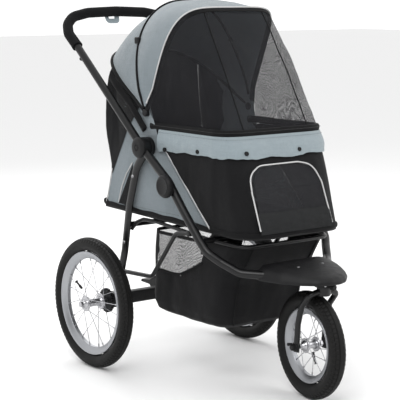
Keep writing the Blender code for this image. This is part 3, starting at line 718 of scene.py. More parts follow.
def front_cover():
    """The moulded wedge over the fork head, with a rolled lip and a domed top."""
    bm = bmesh.new()
    outline = cover_outline()
    centre = Vector((0, -0.640, 0))

    def ring(share, level):
        points = []
        for point in outline:
            spot = centre.lerp(point, share)
            back = (spot.y + 0.764) / 0.202
            points.append(at(spot.x, spot.y, COVER_LOW + level(back)))
        return points

    levels = [(0.90, lambda b: 0.006), (0.985, lambda b: 0.000), (1.0, lambda b: 0.003),
              (1.0, lambda b: 0.008), (0.985, lambda b: 0.011),
              (0.95, lambda b: 0.016 + 0.012 * b), (0.86, lambda b: 0.020 + 0.020 * b),
              (0.62, lambda b: 0.024 + 0.024 * b), (0.34, lambda b: 0.026 + 0.026 * b),
              (0.02, lambda b: 0.027 + 0.027 * b)]
    cloth(bm, [ring(share, level) for share, level in levels], closed=True)
    obj = piece("front_cover_shell", bm, PLASTIC, "frame", ["front_cover"],
                50)
    bm = bmesh.new()
    block(bm, at(-0.017, -0.735, COVER_LOW - 0.010), at(0.017, -0.690, COVER_LOW + 0.002),
          0.003)
    for side in (-1, 1):
        screw = Matrix.Translation(at(side * 0.045, -0.655, COVER_LOW + 0.036))
        lathe(bm, [(0, 0.004), (0.004, 0.0035), (0.006, 0.0015), (0.006, -0.006), (0, -0.006)],
              screw @ Matrix.Rotation(-pi / 2, 4, "Y"), 16)
    piece("cover_hardware", bm, STEEL, "frame")
    return obj


# Side frames --------------------------------------------------------------------------

def front_tube_path(side):
    """From the hinge down and forward, then in under the front cover."""
    points = [(TUBE_X, HINGE.y - AXLE.y, HINGE.z), (TUBE_X, -0.298, 0.598),
              (TUBE_X, -0.368, 0.523), (TUBE_X, -0.444, 0.447), (0.2235, -0.475, 0.418),
              (0.200, -0.503, 0.394), (0.165, -0.548, 0.364), (0.125, -0.590, 0.361),
              (0.090, -0.630, 0.364)]
    return rounded([at(side * x, y, z) for x, y, z in points], 0.060, 8)


def hinge_disc(radius):
    """The round outline of a plate at the main hinge."""
    turns = [2 * pi * step / 32 for step in range(32)]
    return [(HINGE.y - AXLE.y + radius * cos(t), HINGE.z + radius * sin(t)) for t in turns]


def side_frame(side, word):
    """One side's tubes, hinge cap, fold knob, brace and rivets."""
    bm = bmesh.new()
    path = front_tube_path(side)
    sweep(bm, path, TUBE_R, sides=24)
    outer = TUBE_X * side
    collar = hinge_disc(0.030)
    slice_of(bm, collar, outer - 0.0120, outer + 0.0120, 0.002)
    piece(f"front_tube_{word}_paint", bm, PAINT, "frame", ["front_tube_" + word])

    bm = bmesh.new()
    leg_x = side * LEG_X
    spots = [(HINGE.y - AXLE.y, HINGE.z), (-0.110, 0.618), (-0.071, 0.500),
             (-0.045, 0.357), (-0.006, 0.2290)]
    leg = rounded([at(leg_x, y, z) for y, z in spots], 0.1, 8)
    sweep(bm, leg, 0.007, 0.015, 24, across=(1, 0, 0))
    slice_of(bm, collar, leg_x - 0.0065, leg_x + 0.0065, 0.0015)
    piece(f"rear_leg_{word}_paint", bm, PAINT, "rear_frame", ["rear_leg_" + word])

    bm = bmesh.new()
    turn = Matrix.Rotation(0 if side > 0 else pi, 4, "Z")
    cap = Matrix.Translation(Vector((side * CAP_X, HINGE.y, HINGE.z))) @ turn
    lathe(bm, [(0, 0.0060), (0.009, 0.0060), (0.010, 0.0080), (0.020, 0.0078),
               (0.027, 0.0062), (0.0305, 0.003), (0.031, 0), (0, 0)], cap, 40)
    lathe(bm, [(0, 0.0095), (0.005, 0.0090), (0.0075, 0.0065), (0.0075, 0.004), (0, 0.004)],
          cap, 20)
    piece(f"hinge_cap_{word}_cover", bm, PLASTIC, "frame", ["hinge_cap_" + word])

    knob_spot = middle("fold_knob_" + word)
    bm = bmesh.new()
    place = Matrix.Translation(Vector((side * CAP_X, knob_spot.y, knob_spot.z))) @ turn
    lathe(bm, [(0, 0.018), (0.020, 0.018), (0.0245, 0.0195), (0.029, 0.018),
               (0.033, 0.0125), (0.034, 0.006), (0.032, 0), (0, 0)], place, 48)
    for step in range(24):
        angle = 2 * pi * step / 24
        start = Vector((0.003, 0.0338 * sin(angle), 0.0338 * cos(angle)))
        end = Vector((0.013, 0.0326 * sin(angle), 0.0326 * cos(angle)))
        sweep(bm, [place @ start, place @ end], 0.0011, sides=6)
    piece(f"fold_knob_{word}_grip", bm, PLASTIC, "fold_knob_" + word,
          ["fold_knob_" + word])

    bm = bmesh.new()
    link_x = side * LINK_X
    link = [(-0.050, 0.297), (-0.206, 0.305), (-0.324, 0.451), (-0.390, 0.460)]
    sweep(bm, rounded([at(link_x, y, z) for y, z in link], 0.03, 8), 0.0065, sides=16)
    for y, z in (link[0], link[-1]):
        bolt = Matrix.Translation(at(link_x + side * 0.0032, y, z)) @ turn
        lathe(bm, [(0, 0.0065), (0.006, 0.006), (0.009, 0.0035), (0.009, -0.006),
                   (0, -0.006)], bolt, 20)
    piece(f"brace_{word}_link", bm, PAINT, "brace_" + word, ["brace_" + word])

    bm = bmesh.new()
    for y, z in ((-0.098, 0.592), (-0.050, 0.385)):
        rivet = Matrix.Translation(at(side * (LEG_X + 0.0065), y, z)) @ turn
        lathe(bm, [(0, 0.0030), (0.004, 0.0026), (0.0055, 0.0005), (0.0055, -0.004),
                   (0, -0.004)], rivet, 16)
    piece("leg_rivets_" + word, bm, STEEL, "rear_frame")


def cross_tubes():
    """Cross tubes of the two frames and the bent rods that carry the basket."""
    bm = bmesh.new()
    low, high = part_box("front_cross_tube")
    spot = middle("front_cross_tube")
    sweep(bm, [Vector((low.x - 0.004, spot.y, spot.z)), Vector((high.x + 0.004, spot.y,
               spot.z))], 0.0085, sides=20)
    piece("front_cross_tube_paint", bm, PAINT, "frame", ["front_cross_tube"])
    bm = bmesh.new()
    low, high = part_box("rear_cross_tube")
    spot = middle("rear_cross_tube")
    sweep(bm, [Vector((low.x, spot.y, spot.z)), Vector((high.x, spot.y, spot.z))], 0.008,
          sides=20)
    piece("rear_cross_tube_paint", bm, PAINT, "rear_frame", ["rear_cross_tube"])
    bm = bmesh.new()
    for side in (-1, 1):
        spots = [(side * 0.192, -0.063, 0.425), (side * 0.186, -0.080, 0.448),
                 (side * 0.180, -0.108, 0.460), (side * 0.176, -0.165, 0.460),
                 (side * 0.176, -0.430, 0.442)]
        sweep(bm, rounded([at(*spot) for spot in spots], 0.03, 6), 0.0055, sides=14)
    front = [(-0.176, -0.430, 0.442), (-0.160, -0.560, 0.436), (0.160, -0.560, 0.436),
             (0.176, -0.430, 0.442)]
    sweep(bm, rounded([at(*spot) for spot in front], 0.04, 6), 0.006, sides=14)
    piece("basket_stays", bm, PAINT, "frame")


# Handle -------------------------------------------------------------------------------

def handle():
    """The U bar from hinge to hinge, its foam grip and the strap loop."""
    half = [(TUBE_X, HINGE.y - AXLE.y, HINGE.z), (TUBE_X, 0.180, 0.973),
            (0.222, 0.232, 1.008), (0.204, 0.266, 1.036), (0.172, 0.284, 1.059),
            (0.110, 0.293, 1.071)]
    right = [at(-x, y, z) for x, y, z in half]
    left = [at(x, y, z) for x, y, z in reversed(half)]
    path = rounded(right + [at(0, 0.296, 1.075)] + left, 0.06, 8)
    bm = bmesh.new()
    sweep(bm, path, HANDLE_R, sides=24)
    for side in (-1, 1):
        slice_of(bm, hinge_disc(0.028), side * 0.2258, side * 0.2380, 0.0012)
    piece("handle_bar_paint", bm, PAINT, "handle", ["handle_bar"])
    bm = bmesh.new()
    gripped = evenly([point for point in path if point.z > 0.962], 0.008)
    sweep(bm, gripped, GRIP_R, sides=28)
    for end, inner in ((gripped[0], gripped[1]), (gripped[-1], gripped[-2])):
        away = (end - inner).normalized()
        sweep(bm, [end - away * 0.004, end + away * 0.002], GRIP_R + 0.0007, sides=28)
    grip = piece("handle_grip_foam", bm, FOAM, "handle", ["handle_grip"])
    bm = bmesh.new()
    loop = [at(-0.035, 0.300, 1.062), at(-0.033, 0.292, 1.044), at(0.003, 0.293, 1.044),
            at(0.005, 0.300, 1.064)]
    sweep(bm, rounded(loop, 0.006, 4), 0.0012, 0.009, 10, across=(0, 0, 1))
    piece("wrist_loop", bm, PALE, "handle")


# Cabin --------------------------------------------------------------------------------

def lean(x, y, z):
    """A point of the front wall: it leans back and draws in towards the rim."""
    share = max((SIDE_FRONT - y) / (SIDE_FRONT - FRONT_LOW), 0)
    share *= (z - floor_z(y)) / (RIM_Z - floor_z(y))
    return at(x * (1 - FRONT_TAPER * share), y + FRONT_SHIFT * share, z)


def ahead_of(x, y):
    """How far out the band sits from the wall under it."""
    ahead = max(SIDE_FRONT - y, 0) / (SIDE_FRONT - FRONT_LOW)
    return Vector((0.0050 * x / CABIN_X, -0.0070 * ahead, 0))


def slant(z):
    """Where the grey side gives way to the black front at a height."""
    return SLANT_Y + (z - SLANT_Z) * SLANT_RATIO


def front_path(half_x, rear_y, front_y, corner=CORNER, gap=0.008):
    corners = [Vector((-half_x, rear_y, 0)), Vector((-half_x, front_y, 0)),
               Vector((half_x, front_y, 0)), Vector((half_x, rear_y, 0))]
    return evenly(rounded(corners, corner, 10), gap)


def front_wall():
    """The black front, from the slanted piping on one side round to the other."""
    bm = bmesh.new()
    rows = []
    for step in range(41):
        share = step / 40
        z_side = WALL_LOW + (RIM_Z - WALL_LOW) * share
        path = front_path(CABIN_X - 0.001, slant(z_side), FRONT_LOW)
        path = evenly(path, sum((b - a).length for a, b in zip(path, path[1:])) / 110)[:111]
        row = []
        for point in path:
            base = floor_z(point.y)
            z = base + (RIM_Z - base) * share
            spot = lean(point.x, point.y, z)
            swell = sin(pi * share)
            fold = ripple(spot, 0.060, (1.0, 1.0, 0.25), 3.0) * 0.0022
            out = Vector((point.x / CABIN_X, 0, 0)) if point.y > SIDE_FRONT else Vector(
                (point.x / CABIN_X * 0.6, -0.8, 0))
            row.append(spot + out * (0.0045 * swell + fold * (0.3 + swell)))
        rows.append(row)
    def kind(spot):
        middle_x = abs(spot.x + 0.005)
        if not WINDOW_LOW + 0.005 < spot.z < WINDOW_TOP or spot.y > AXLE.y + SIDE_FRONT:
            return 0
        narrowing = 0.030 * (max(spot.z - 0.615, 0) / 0.04) ** 2
        return 1 if middle_x < WINDOW_HALF - 0.004 - narrowing else 0

    cloth(bm, rows, kind)
    wall = piece("front_wall_cloth", bm, [BLACK, WINDOW], "frame", ["cabin_front"],
                 180, turned=False)
    return wall


def arch_path():
    """The outline of the front window, on the leaning wall."""
    points = [(-0.139, 0.486), (-0.140, 0.586), (-0.135, 0.636), (-0.094, 0.659),
              (0.049, 0.660), (0.099, 0.649), (0.121, 0.601), (0.128, 0.486)]
    path = []
    for x, z in points:
        spot = lean(x / (1 - FRONT_TAPER * (z - 0.475) / 0.23), FRONT_LOW, z)
        path.append(spot + Vector((0, -0.0085, 0)))
    return rounded(path, 0.05, 8)


def window():
    """Mesh behind a piped arch, with the flap that closes it rolled below."""
    bm = bmesh.new()
    rows = []
    for step in range(21):
        share = step / 20
        z = WINDOW_LOW + (WINDOW_TOP - WINDOW_LOW) * share
        reach = WINDOW_HALF - 0.040 * (max(z - 0.61, 0) / 0.045) ** 2
        row = []
        for col in range(41):
            x = reach * (col / 20 - 1) - 0.005
            spot = lean(x, FRONT_LOW, z)
            row.append(spot + Vector((0, -0.0070 + 0.0008 * ripple(spot, 0.03), 0)))
        rows.append(row)
    cloth(bm, rows)
    net = piece("window_mesh", bm, WINDOW, "frame", sharp=180, turned=False)
    bm = bmesh.new()
    rows = []
    for step in range(17):
        share = step / 16
        z = FLAP_LOW + 0.056 * share
        row = []
        for col in range(49):
            x = FLAP_HALF * (col / 24 - 1) - 0.0055
            spot = lean(x, FRONT_LOW, z)
            roll = 0.0035 * sin(pi * share) + 0.0012 * ripple(spot, 0.04, (1, 1, 3), 5)
            row.append(spot + Vector((0, -0.0080 - roll, 0)))
        rows.append(row)
    cloth(bm, rows)
    flap = piece("window_flap", bm, FLAP, "frame", sharp=180, turned=False)
    bm = bmesh.new()
    sweep(bm, evenly(arch_path(), 0.006), 0.0021, sides=10)
    piece("window_piping", bm, PIPING, "frame")
    bm = bmesh.new()
    inner = [point + (at(0, -0.56, 0.56) - point) * 0.035 + Vector((0, -0.0014, 0))
             for point in arch_path()]
    stitches(bm, inner)
    piece("window_stitching", bm, THREAD, "frame")


FLAP = woven("dark_flap", (0.006, 0.0065, 0.007), (0.014, 0.015, 0.016), sheen=0.1)


def rear_corner_edge(side, share):
    """The seam of the black corner: along the rear bow, then down the rear wall."""
    if share < 0.5:
        turn = 0.209 * share / 0.5
        return REAR_BOW.point(turn if side < 0 else 1 - turn, 0.045, -0.001)
    down = (share - 0.5) / 0.5
    return rear_point(side, 0.920 - 0.335 * down, 0.002)


REAR_PROFILE = [(0.079, 0.488), (0.060, 0.545), (0.046, 0.600), (0.060, 0.655),
                (0.074, 0.700), (0.092, 0.790), (0.105, 0.870), (0.108, 0.920)]


def rear_point(share, z, inward=0.0):
    """A point of the rear wall: share runs from -1 at one side to 1 at the other."""
    y = REAR_PROFILE[-1][0]
    for (low_y, low_z), (high_y, high_z) in zip(REAR_PROFILE, REAR_PROFILE[1:]):
        if z <= high_z:
            y = low_y + (high_y - low_y) * (z - low_z) / (high_z - low_z)
            break
    crown = REAR_BOW.point(0.5 + 0.291 * share, 0.045, -0.001)
    spot = at(share * (CABIN_X - 0.002), y + inward, z)
    return spot.lerp(crown, min(max(z - 0.720, 0) / 0.200, 1.0) ** 1.2)


def side_gore(side, word):
    """The grey side between the rear bow's leg and the cabin's rim."""
    bm = bmesh.new()
    x = side * CABIN_X
    rows = []
    for step in range(13):
        share = step / 12
        row = []
        for col in range(25):
            along = col / 24
            low_spot = at(x, -0.196 + 0.157 * along, 0.716 + 0.004 * along)
            turn = 0.02 + 0.085 * along
            high_spot = REAR_BOW.point(turn if side < 0 else 1 - turn, 0.020, -0.001)
            if along < 0.25:
                end = FRONT_BOW.point(0 if side < 0 else 1, 0.040)
                high_spot = end.lerp(high_spot, along / 0.25)
            spot = low_spot.lerp(high_spot, share)
            fold = ripple(spot, 0.05, seed=3.0 + side) * 0.0014 * sin(pi * share)
            row.append(spot + Vector((side * (0.001 + fold), 0, 0)))
        rows.append(row)
    cloth(bm, rows)
    gore = piece("side_gore_" + word, bm, GREY, "frame", sharp=180, turned=False)


def side_panels(side, word):
    """Grey lower side, black upper rear corner, and the piping between them."""
    bm = bmesh.new()
    x = side * (CABIN_X - 0.0005)
    rows = []
    for step in range(31):
        share = step / 30
        row = []
        for col in range(61):
            along = col / 60
            top = 0.4865 + (RIM_Z - 0.4865) * share
            rear = 0.078 - 0.034 * min(share / 0.45, 1.0)
            rear -= 0.083 * max(share - 0.45, 0) / 0.55
            y = rear + (slant(top - 0.012) - rear) * along
            z = floor_z(y) + (RIM_Z - floor_z(y)) * share
            y = rear + (slant(z) - rear) * along
            spot = at(x, y, z)
            bulge = sin(pi * min(share * 1.1, 1.0)) * sin(pi * along)
            fold = ripple(spot, 0.09, (1, 1, 0.6), 1.0 + side)
            row.append(spot + Vector((side * (0.0035 * bulge + 0.0028 * fold * bulge), 0, 0)))
        rows.append(row)
    cloth(bm, rows)
    panel = piece(f"cabin_side_{word}_cloth", bm, GREY, "frame", ["cabin_side_" + word],
                  180, turned=False)

    bm = bmesh.new()
    rows = []
    foot = Vector((x, AXLE.y - 0.039, 0.727))
    base = Vector((x, AXLE.y + 0.044, 0.585))
    for step in range(25):
        share = step / 24
        inner = foot.lerp(base, share)
        outer = rear_corner_edge(side, share)
        row = []
        for col in range(25):
            spot = inner.lerp(outer, col / 24)
            fold = ripple(spot, 0.05, (1, 1, 0.3), 7.0 + side) * sin(pi * col / 24)
            row.append(spot + Vector((side * (0.0015 + 0.0022 * fold), 0, 0)))
        rows.append(row)
    cloth(bm, rows)
    corner = piece("rear_corner_" + word, bm, BLACK, "frame", sharp=180, turned=False)

    bm = bmesh.new()
    piping = [at(x + side * 0.0022, slant(z), z) for z in (0.712, 0.66, 0.60, 0.54, 0.476)]
    sweep(bm, evenly(piping, 0.01), 0.0020, sides=10)
    gusset = [(-0.068, 0.628), (-0.036, 0.592), (-0.012, 0.552), (0.008, 0.500)]
    sweep(bm, evenly([at(x + side * 0.0048, y, z) for y, z in gusset], 0.01), 0.0018,
          sides=10)
    rear = [(0.046, 0.600), (0.058, 0.560), (0.070, 0.520), (0.080, 0.492)]
    sweep(bm, evenly([at(x + side * 0.0008, y, z) for y, z in rear], 0.01), 0.0018,
          sides=10)
    piece("side_piping_" + word, bm, PIPING, "frame")

    bm = bmesh.new()
    corners = [Vector((-0.068, 0.624)), Vector((0.008, 0.497)), Vector((-0.060, 0.492)),
               Vector((-0.075, 0.560))]
    rows = []
    for step in range(13):
        low = corners[0].lerp(corners[1], step / 12)
        high = corners[3].lerp(corners[2], step / 12)
        rows.append([at(x + side * 0.0042, *low.lerp(high, col / 8)) for col in range(9)])
    cloth(bm, rows)
    piece("gusset_" + word, bm, BLACK, "frame", sharp=180, turned=False)

    bm = bmesh.new()
    seams = [[at(x + side * 0.0052, slant(z) + 0.007, z) for z in (0.70, 0.60, 0.48)],
             [at(x + side * 0.0045, -0.30 + 0.35 * s, floor_z(0) + 0.012)
              for s in (0.0, 0.5, 1.0)]]
    for seam in seams:
        stitches(bm, seam)
    piece("side_stitching_" + word, bm, THREAD, "frame")


def rear_wall():
    """The black flap behind, a grey apron under it and the padded roll at the base."""
    bm = bmesh.new()
    rows = []
    for step in range(37):
        z = 0.488 + 0.432 * step / 36
        row = []
        for col in range(49):
            share = col / 24 - 1
            spot = rear_point(share, z)
            fold = ripple(spot, 0.07, (1, 1, 0.35), 11.0) * max(0.920 - z, 0) / 0.432
            row.append(spot + Vector((0, (0.003 + 0.005 * fold) * (1 - share ** 8), 0)))
        rows.append(row)
    cloth(bm, rows, lambda spot: 0 if spot.z > 0.600 else 1)
    wall = piece("rear_wall_cloth", bm, [BLACK, GREY], "frame", ["cabin_rear"],
                 180, turned=False)
    bm = bmesh.new()
    reach = CABIN_X + 0.001
    roll = [at(reach * (step / 12 - 1), 0.082, 0.4935 + 0.0012 * sin(step * 1.7))
            for step in range(25)]
    sweep(bm, roll, 0.0125, 0.0105, 18, across=(0, 1, 0))
    base = piece("base_roll", bm, BLACK, "frame")


def lower_edges():
    """Binding along the bottom of the cabin, all the way round."""
    bm = bmesh.new()
    path = front_path(CABIN_X + 0.0005, 0.080, FRONT_LOW - 0.0005, gap=0.01)
    line = [at(p.x, p.y, floor_z(p.y) + 0.001 + 0.0012 * sin(p.y * 60 + p.x * 40))
            for p in path]
    sweep(bm, line, 0.0032, 0.0072, 12, across=(1, 0, 0))
    piece("lower_binding", bm, BINDING, "frame")


SNAP = [(0, 0.0012), (0.0028, 0.0012), (0.0034, 0.0024), (0.0055, 0.0024),
        (0.0062, 0.0010), (0.0062, -0.004), (0, -0.004)]


def front_band():
    """The grey snap-on band below the rim, and its snaps."""
    bm = bmesh.new()
    path = front_path(CABIN_X, -0.205, FRONT_LOW, gap=0.007)
    rows = []
    for step in range(13):
        share = step / 12
        row = []
        for point in path:
            wave = ripple(Vector((point.x, point.y, 0)), 0.075, seed=21)
            low = 0.6790 + 0.0060 * wave
            z = low + (RIM_Z + 0.004 - low) * share
            spot = lean(point.x, point.y, z) + ahead_of(point.x, point.y)
            out = Vector((point.x, point.y - SIDE_FRONT, 0)).normalized()
            if point.y > SIDE_FRONT:
                out = Vector((1 if point.x > 0 else -1, 0, 0))
            swell = 0.0050 * sin(pi * share) + 0.0030 * (1 - share)
            fold = 0.0030 * ripple(spot, 0.050, (1, 1, 0.5), 9) * sin(pi * min(share + 0.2, 1))
            row.append(spot + out * (swell + fold))
        rows.append(row)
    cloth(bm, rows)
    band = piece("front_band_cloth", bm, PALE, "frame", ["front_band"], 180,
                 turned=False)
    bm = bmesh.new()
    spots = [(side * (CABIN_X + 0.0125), y, z, side) for side in (-1, 1)
             for y, z in ((-0.242, 0.684), (-0.399, 0.692))]
    for x, y, z, side in spots:
        turn = Matrix.Rotation(0 if side > 0 else pi, 4, "Z")
        lathe(bm, SNAP, Matrix.Translation(at(x, y, z)) @ turn, 20)
    for x in (-0.146, 0.067):
        spot = lean(x, FRONT_LOW, 0.694) + Vector((0, -0.0135, 0))
        lathe(bm, SNAP, Matrix.Translation(spot) @ Matrix.Rotation(-pi / 2, 4, "Z"), 20)
    piece("band_snaps", bm, PLASTIC, "frame")
    bm = bmesh.new()
    seam = [lean(p.x, p.y, RIM_Z - 0.004) + ahead_of(p.x, p.y) * 1.6 for p in path]
    stitches(bm, seam)
    piece("band_stitching", bm, THREAD, "frame")


def rim_binding():
    """The thick bound edge where the mesh zips on to the cabin."""
    bm = bmesh.new()
    path = front_path(CABIN_X - 0.001, -0.160, FRONT_LOW + 0.004, gap=0.008)
    line = [lean(p.x, p.y, RIM_Z) + Vector((0, 0, 0.0115 + 0.0015 * ripple(p, 0.08, seed=4)))
            for p in path]
    sweep(bm, line, 0.0065, 0.0110, 18, across=(1, 0, 0))
    obj = piece("cabin_rim_binding", bm, BINDING, "frame", ["cabin_rim"])
    bm = bmesh.new()
    zip_line = [lean(p.x, p.y, RIM_Z) + ahead_of(p.x, p.y) * 1.3 + Vector((0, 0, 0.0145))
                for p in path]
    stitches(bm, zip_line, 0.004, 0.0007)
    piece("rim_zip", bm, THREAD, "frame")
    return obj


def cushion():
    """The quilted floor cushion inside."""
    bm = bmesh.new()
    low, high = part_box("floor_cushion")
    rows = []
    for step in range(49):
        y = (high.y - AXLE.y) + (low.y - high.y) * step / 48
        row = []
        for col in range(41):
            share = col / 20 - 1
            along = step / 24 - 1
            edge = (1 - share ** 8) * (1 - along ** 12)
            quilt = 0.004 * abs(sin(y * 52) * sin(share * 8))
            z = floor_z(y) + 0.004 + (0.024 + quilt) * edge
            narrow = 1 - 0.30 * max(along - 0.8, 0) / 0.2
            row.append(at(share * high.x * narrow, y, z))
        rows.append(row)
    cloth(bm, rows)
    pad = piece("floor_cushion_quilt", bm, BLACK, "frame", ["floor_cushion"],
                180)


# Basket -------------------------------------------------------------------------------

def crumple(obj):
    """Give a piece of the basket its own copy of its mesh."""
    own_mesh(obj)


def basket():
    """A sewn bag with mesh sides that sags between its corners."""
    bm = bmesh.new()
    levels = [(0.174, 0.040, -0.290, -0.220, 0.02), (0.174, 0.085, -0.370, -0.160, 0.03),
              (0.178, 0.124, -0.432, -0.118, 0.04), (0.190, 0.146, -0.452, -0.102, 0.05),
              (0.215, 0.155, -0.460, -0.100, 0.05), (0.310, 0.160, -0.480, -0.105, 0.05),
              (0.380, 0.163, -0.522, -0.114, 0.05), (BASKET_TOP, 0.166, -0.553, -0.122, 0.05)]
    rows = []
    for first, second in zip(levels, levels[1:]):
        for step in range(5):
            share = step / 5
            blend = [a + (b - a) * share for a, b in zip(first, second)]
            rows.append(bag_ring(*blend))
    rows.append(bag_ring(*levels[-1]))

    def kind(spot):
        y, z = spot.y - AXLE.y, spot.z
        lower = 0.314 + 0.5 * max(-0.27 - y, 0)
        on_side = abs(spot.x) > 0.140 and -0.376 < y < -0.160
        behind = y > -0.135 and abs(spot.x) < 0.130
        if on_side and lower < z < BASKET_TOP - 0.012:
            return 1
        return 1 if behind and 0.25 < z < BASKET_TOP - 0.012 else 0

    cloth(bm, rows, kind, closed=True)
    bag = piece("basket_cloth", bm, [BLACK, BASKET_NET], "frame", ["basket"],
                180, turned=False)
    crumple(bag)
    bm = bmesh.new()
    top = bag_ring(BASKET_TOP + 0.002, 0.166, -0.553, -0.122, 0.05)
    sweep(bm, top, 0.0035, 0.0070, 10, closed=True, across=(1, 0, 0))
    edge = piece("basket_binding", bm, BINDING, "frame")
    crumple(edge)
    bm = bmesh.new()
    for side in (-1, 1):
        lower = [(-0.158, 0.316), (-0.230, 0.313), (-0.270, 0.315), (-0.330, 0.342),
                 (-0.376, 0.366)]
        sweep(bm, evenly(rounded([at(side * 0.1655, y, z) for y, z in lower], 0.05, 6),
                         0.01), 0.0016, 0.0040, 8, across=(1, 0, 0))
        seam = [(0.120, -0.5510, 0.424), (0.118, -0.4860, 0.319), (0.116, -0.466, 0.221),
                (0.106, -0.448, 0.186)]
        sweep(bm, evenly([at(side * x, y, z) for x, y, z in seam], 0.02), 0.0022, sides=8)
    seams = piece("basket_seams", bm, BINDING, "frame")
    crumple(seams)
    bm = bmesh.new()
    for side in (-1, 1):
        block(bm, at(side * 0.170 - 0.003, -0.400, 0.395), at(side * 0.170 + 0.003, -0.380,
              0.425), 0.002)
    buckles = piece("basket_buckles", bm, PLASTIC, "frame")
    crumple(buckles)


def bag_ring(z, half_x, front_y, rear_y, corner):
    loop = [Vector((0, rear_y, 0)), Vector((-half_x, rear_y, 0)),
            Vector((-half_x, front_y, 0)), Vector((half_x, front_y, 0)),
            Vector((half_x, rear_y, 0)), Vector((0, rear_y, 0))]
    path = rounded(loop, corner, 8)
    lengths = sum((b - a).length for a, b in zip(path, path[1:]))
    ring = evenly(path, lengths / 119.5)[:120]
    slack = max(BASKET_TOP - z, 0) / BASKET_TOP
    points = []
    for point in ring:
        spot = at(point.x, point.y, z)
        out = Vector((point.x, (point.y + 0.27), 0)).normalized()
        droop = 0.010 * slack * cos(point.x * 8) * cos((point.y + 0.27) * 8)
        fold = 0.0055 * ripple(spot, 0.075, (1, 1, 0.45), 31) * min(slack * 4, 1)
        points.append(spot + out * fold - Vector((0, 0, max(droop, 0) * (z < 0.25))))
    return points


# Canopy -------------------------------------------------------------------------------

class Bow:
    """An arch in a plane through the canopy's pivots: half width, height, fullness, lean
    from upright at its sides and top in degrees, and where its feet sit along X."""

    def __init__(self, half, height, fullness, side_lean, top_lean, foot_x):
        self.half = half
        self.height = height
        self.fullness = fullness
        self.side_lean = side_lean
        self.top_lean = top_lean
        self.foot_x = foot_x

    def point(self, share, first=0.0125, out=0.0):
        angle = pi * share
        power = 2 / self.fullness
        rise = abs(sin(angle)) ** power * self.height
        across = (1 if share > 0.5 else -1) * abs(cos(angle)) ** power * self.half
        height = max(rise, first)
        flare = min((height - 0.0125) / 0.060, 1.0)
        foot = self.foot_x if across > 0 else -self.foot_x
        across = foot + (across - foot) * flare
        share_up = (height / self.height) ** 3
        tilt = radians(self.side_lean + (self.top_lean - self.side_lean) * share_up)
        height += out
        across *= 1 + out / self.half
        return Vector((across, PIVOT.y + height * sin(tilt), PIVOT.z + height * cos(tilt)))

    def arch(self, count, first=0.0125, out=0.0):
        """Even points along the arch from foot to foot."""
        fine = [self.point(0.5 - 0.5 * cos(pi * step / 240), first, out)
                for step in range(241)]
        total = sum((b - a).length for a, b in zip(fine, fine[1:]))
        return evenly(fine, total / (count - 1.5))[:count]


REAR_BOW = Bow(half=0.188, height=0.340, fullness=3.2, side_lean=60, top_lean=60,
               foot_x=0.1925)
MIDDLE_BOW = Bow(half=0.205, height=0.330, fullness=2.4, side_lean=20, top_lean=12.6,
                 foot_x=0.1980)
FRONT_BOW = Bow(half=0.190, height=0.341, fullness=5.5, side_lean=-21, top_lean=-27,
                foot_x=0.2035)


def stretched(behind, ahead, seed, steps=14, count=121):
    """Rows of cloth from one arch to the next, drawn in a little between them."""
    first = behind.arch(count, 0.018, 0.003)
    last = ahead.arch(count, 0.018, 0.003)
    centre = Vector((0, PIVOT.y, PIVOT.z))
    rows = []
    for step in range(steps + 1):
        share = step / steps
        row = []
        for a, b in zip(first, last):
            spot = a.lerp(b, share)
            inward = (centre - spot).normalized()
            reach = (spot - centre).length
            radius = (a - centre).length * (1 - share) + (b - centre).length * share
            belly = (radius - reach) * 0.55
            fold = ripple(spot, 0.085, (0.8, 1, 0.5), seed) * 0.0035 * sin(pi * share)
            row.append(spot - inward * (belly + fold))
        rows.append(row)
    return rows


def canopy_cloth():
    """The grey cloth from bow to bow."""
    bm = bmesh.new()
    cloth(bm, stretched(REAR_BOW, MIDDLE_BOW, 2.0))
    rear = piece("canopy_rear_cloth", bm, GREY, None, sharp=180, turned=False)
    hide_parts("canopy_rear_panel")
    tuple(REAR_BOW.point(0.5))
    tuple(MIDDLE_BOW.point(0.5))
    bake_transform(rear)
    bm = bmesh.new()
    cloth(bm, stretched(MIDDLE_BOW, FRONT_BOW, 6.0))
    top = piece("canopy_top_cloth", bm, GREY, None, sharp=180, turned=False)
    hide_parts("canopy_top_panel")
    tuple(MIDDLE_BOW.point(0.5))
    tuple(FRONT_BOW.point(0.5))
    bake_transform(top)


def canopy_mesh():
    """The mesh front from the front arch down to the cabin's rim."""
    count = 121
    upper = FRONT_BOW.arch(count, 0.030, 0.002)
    path = front_path(CABIN_X - 0.002, -0.185, FRONT_LOW + 0.007)
    total = sum((b - a).length for a, b in zip(path, path[1:]))
    lower = [lean(p.x, p.y, RIM_Z) + Vector((0, 0, 0.016))
             for p in evenly(path, total / (count - 1.5))[:count]]
    rows = []
    for step in range(33):
        share = step / 32
        row = []
        for a, b in zip(upper, lower):
            spot = a.lerp(b, share)
            fold = ripple(spot, 0.055, (1.2, 1.2, 0.25), 15) * 0.0040 * sin(pi * share)
            out = Vector((spot.x, spot.y - PIVOT.y, 0)).normalized()
            row.append(spot + out * (fold + 0.006 * sin(pi * share)))
        rows.append(row)
    bm = bmesh.new()
    cloth(bm, rows)
    net = piece("canopy_mesh_net", bm, MESH, None, ["canopy_mesh"], 180,
                turned=False)
    rim_end = tuple(at(0, FRONT_LOW + 0.1, RIM_Z + 0.02))
    bow_end = tuple(FRONT_BOW.point(0.5))
    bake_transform(net)
    bm = bmesh.new()
    seam_column = 74
    for index in (seam_column, count - 1 - seam_column):
        sweep(bm, [row[index] + Vector((0, -0.0008, 0)) for row in rows], 0.0022, 0.0012, 8,
              across=(1, 0, 0))
    seams = piece("mesh_seams", bm, BINDING, None)
    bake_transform(seams)


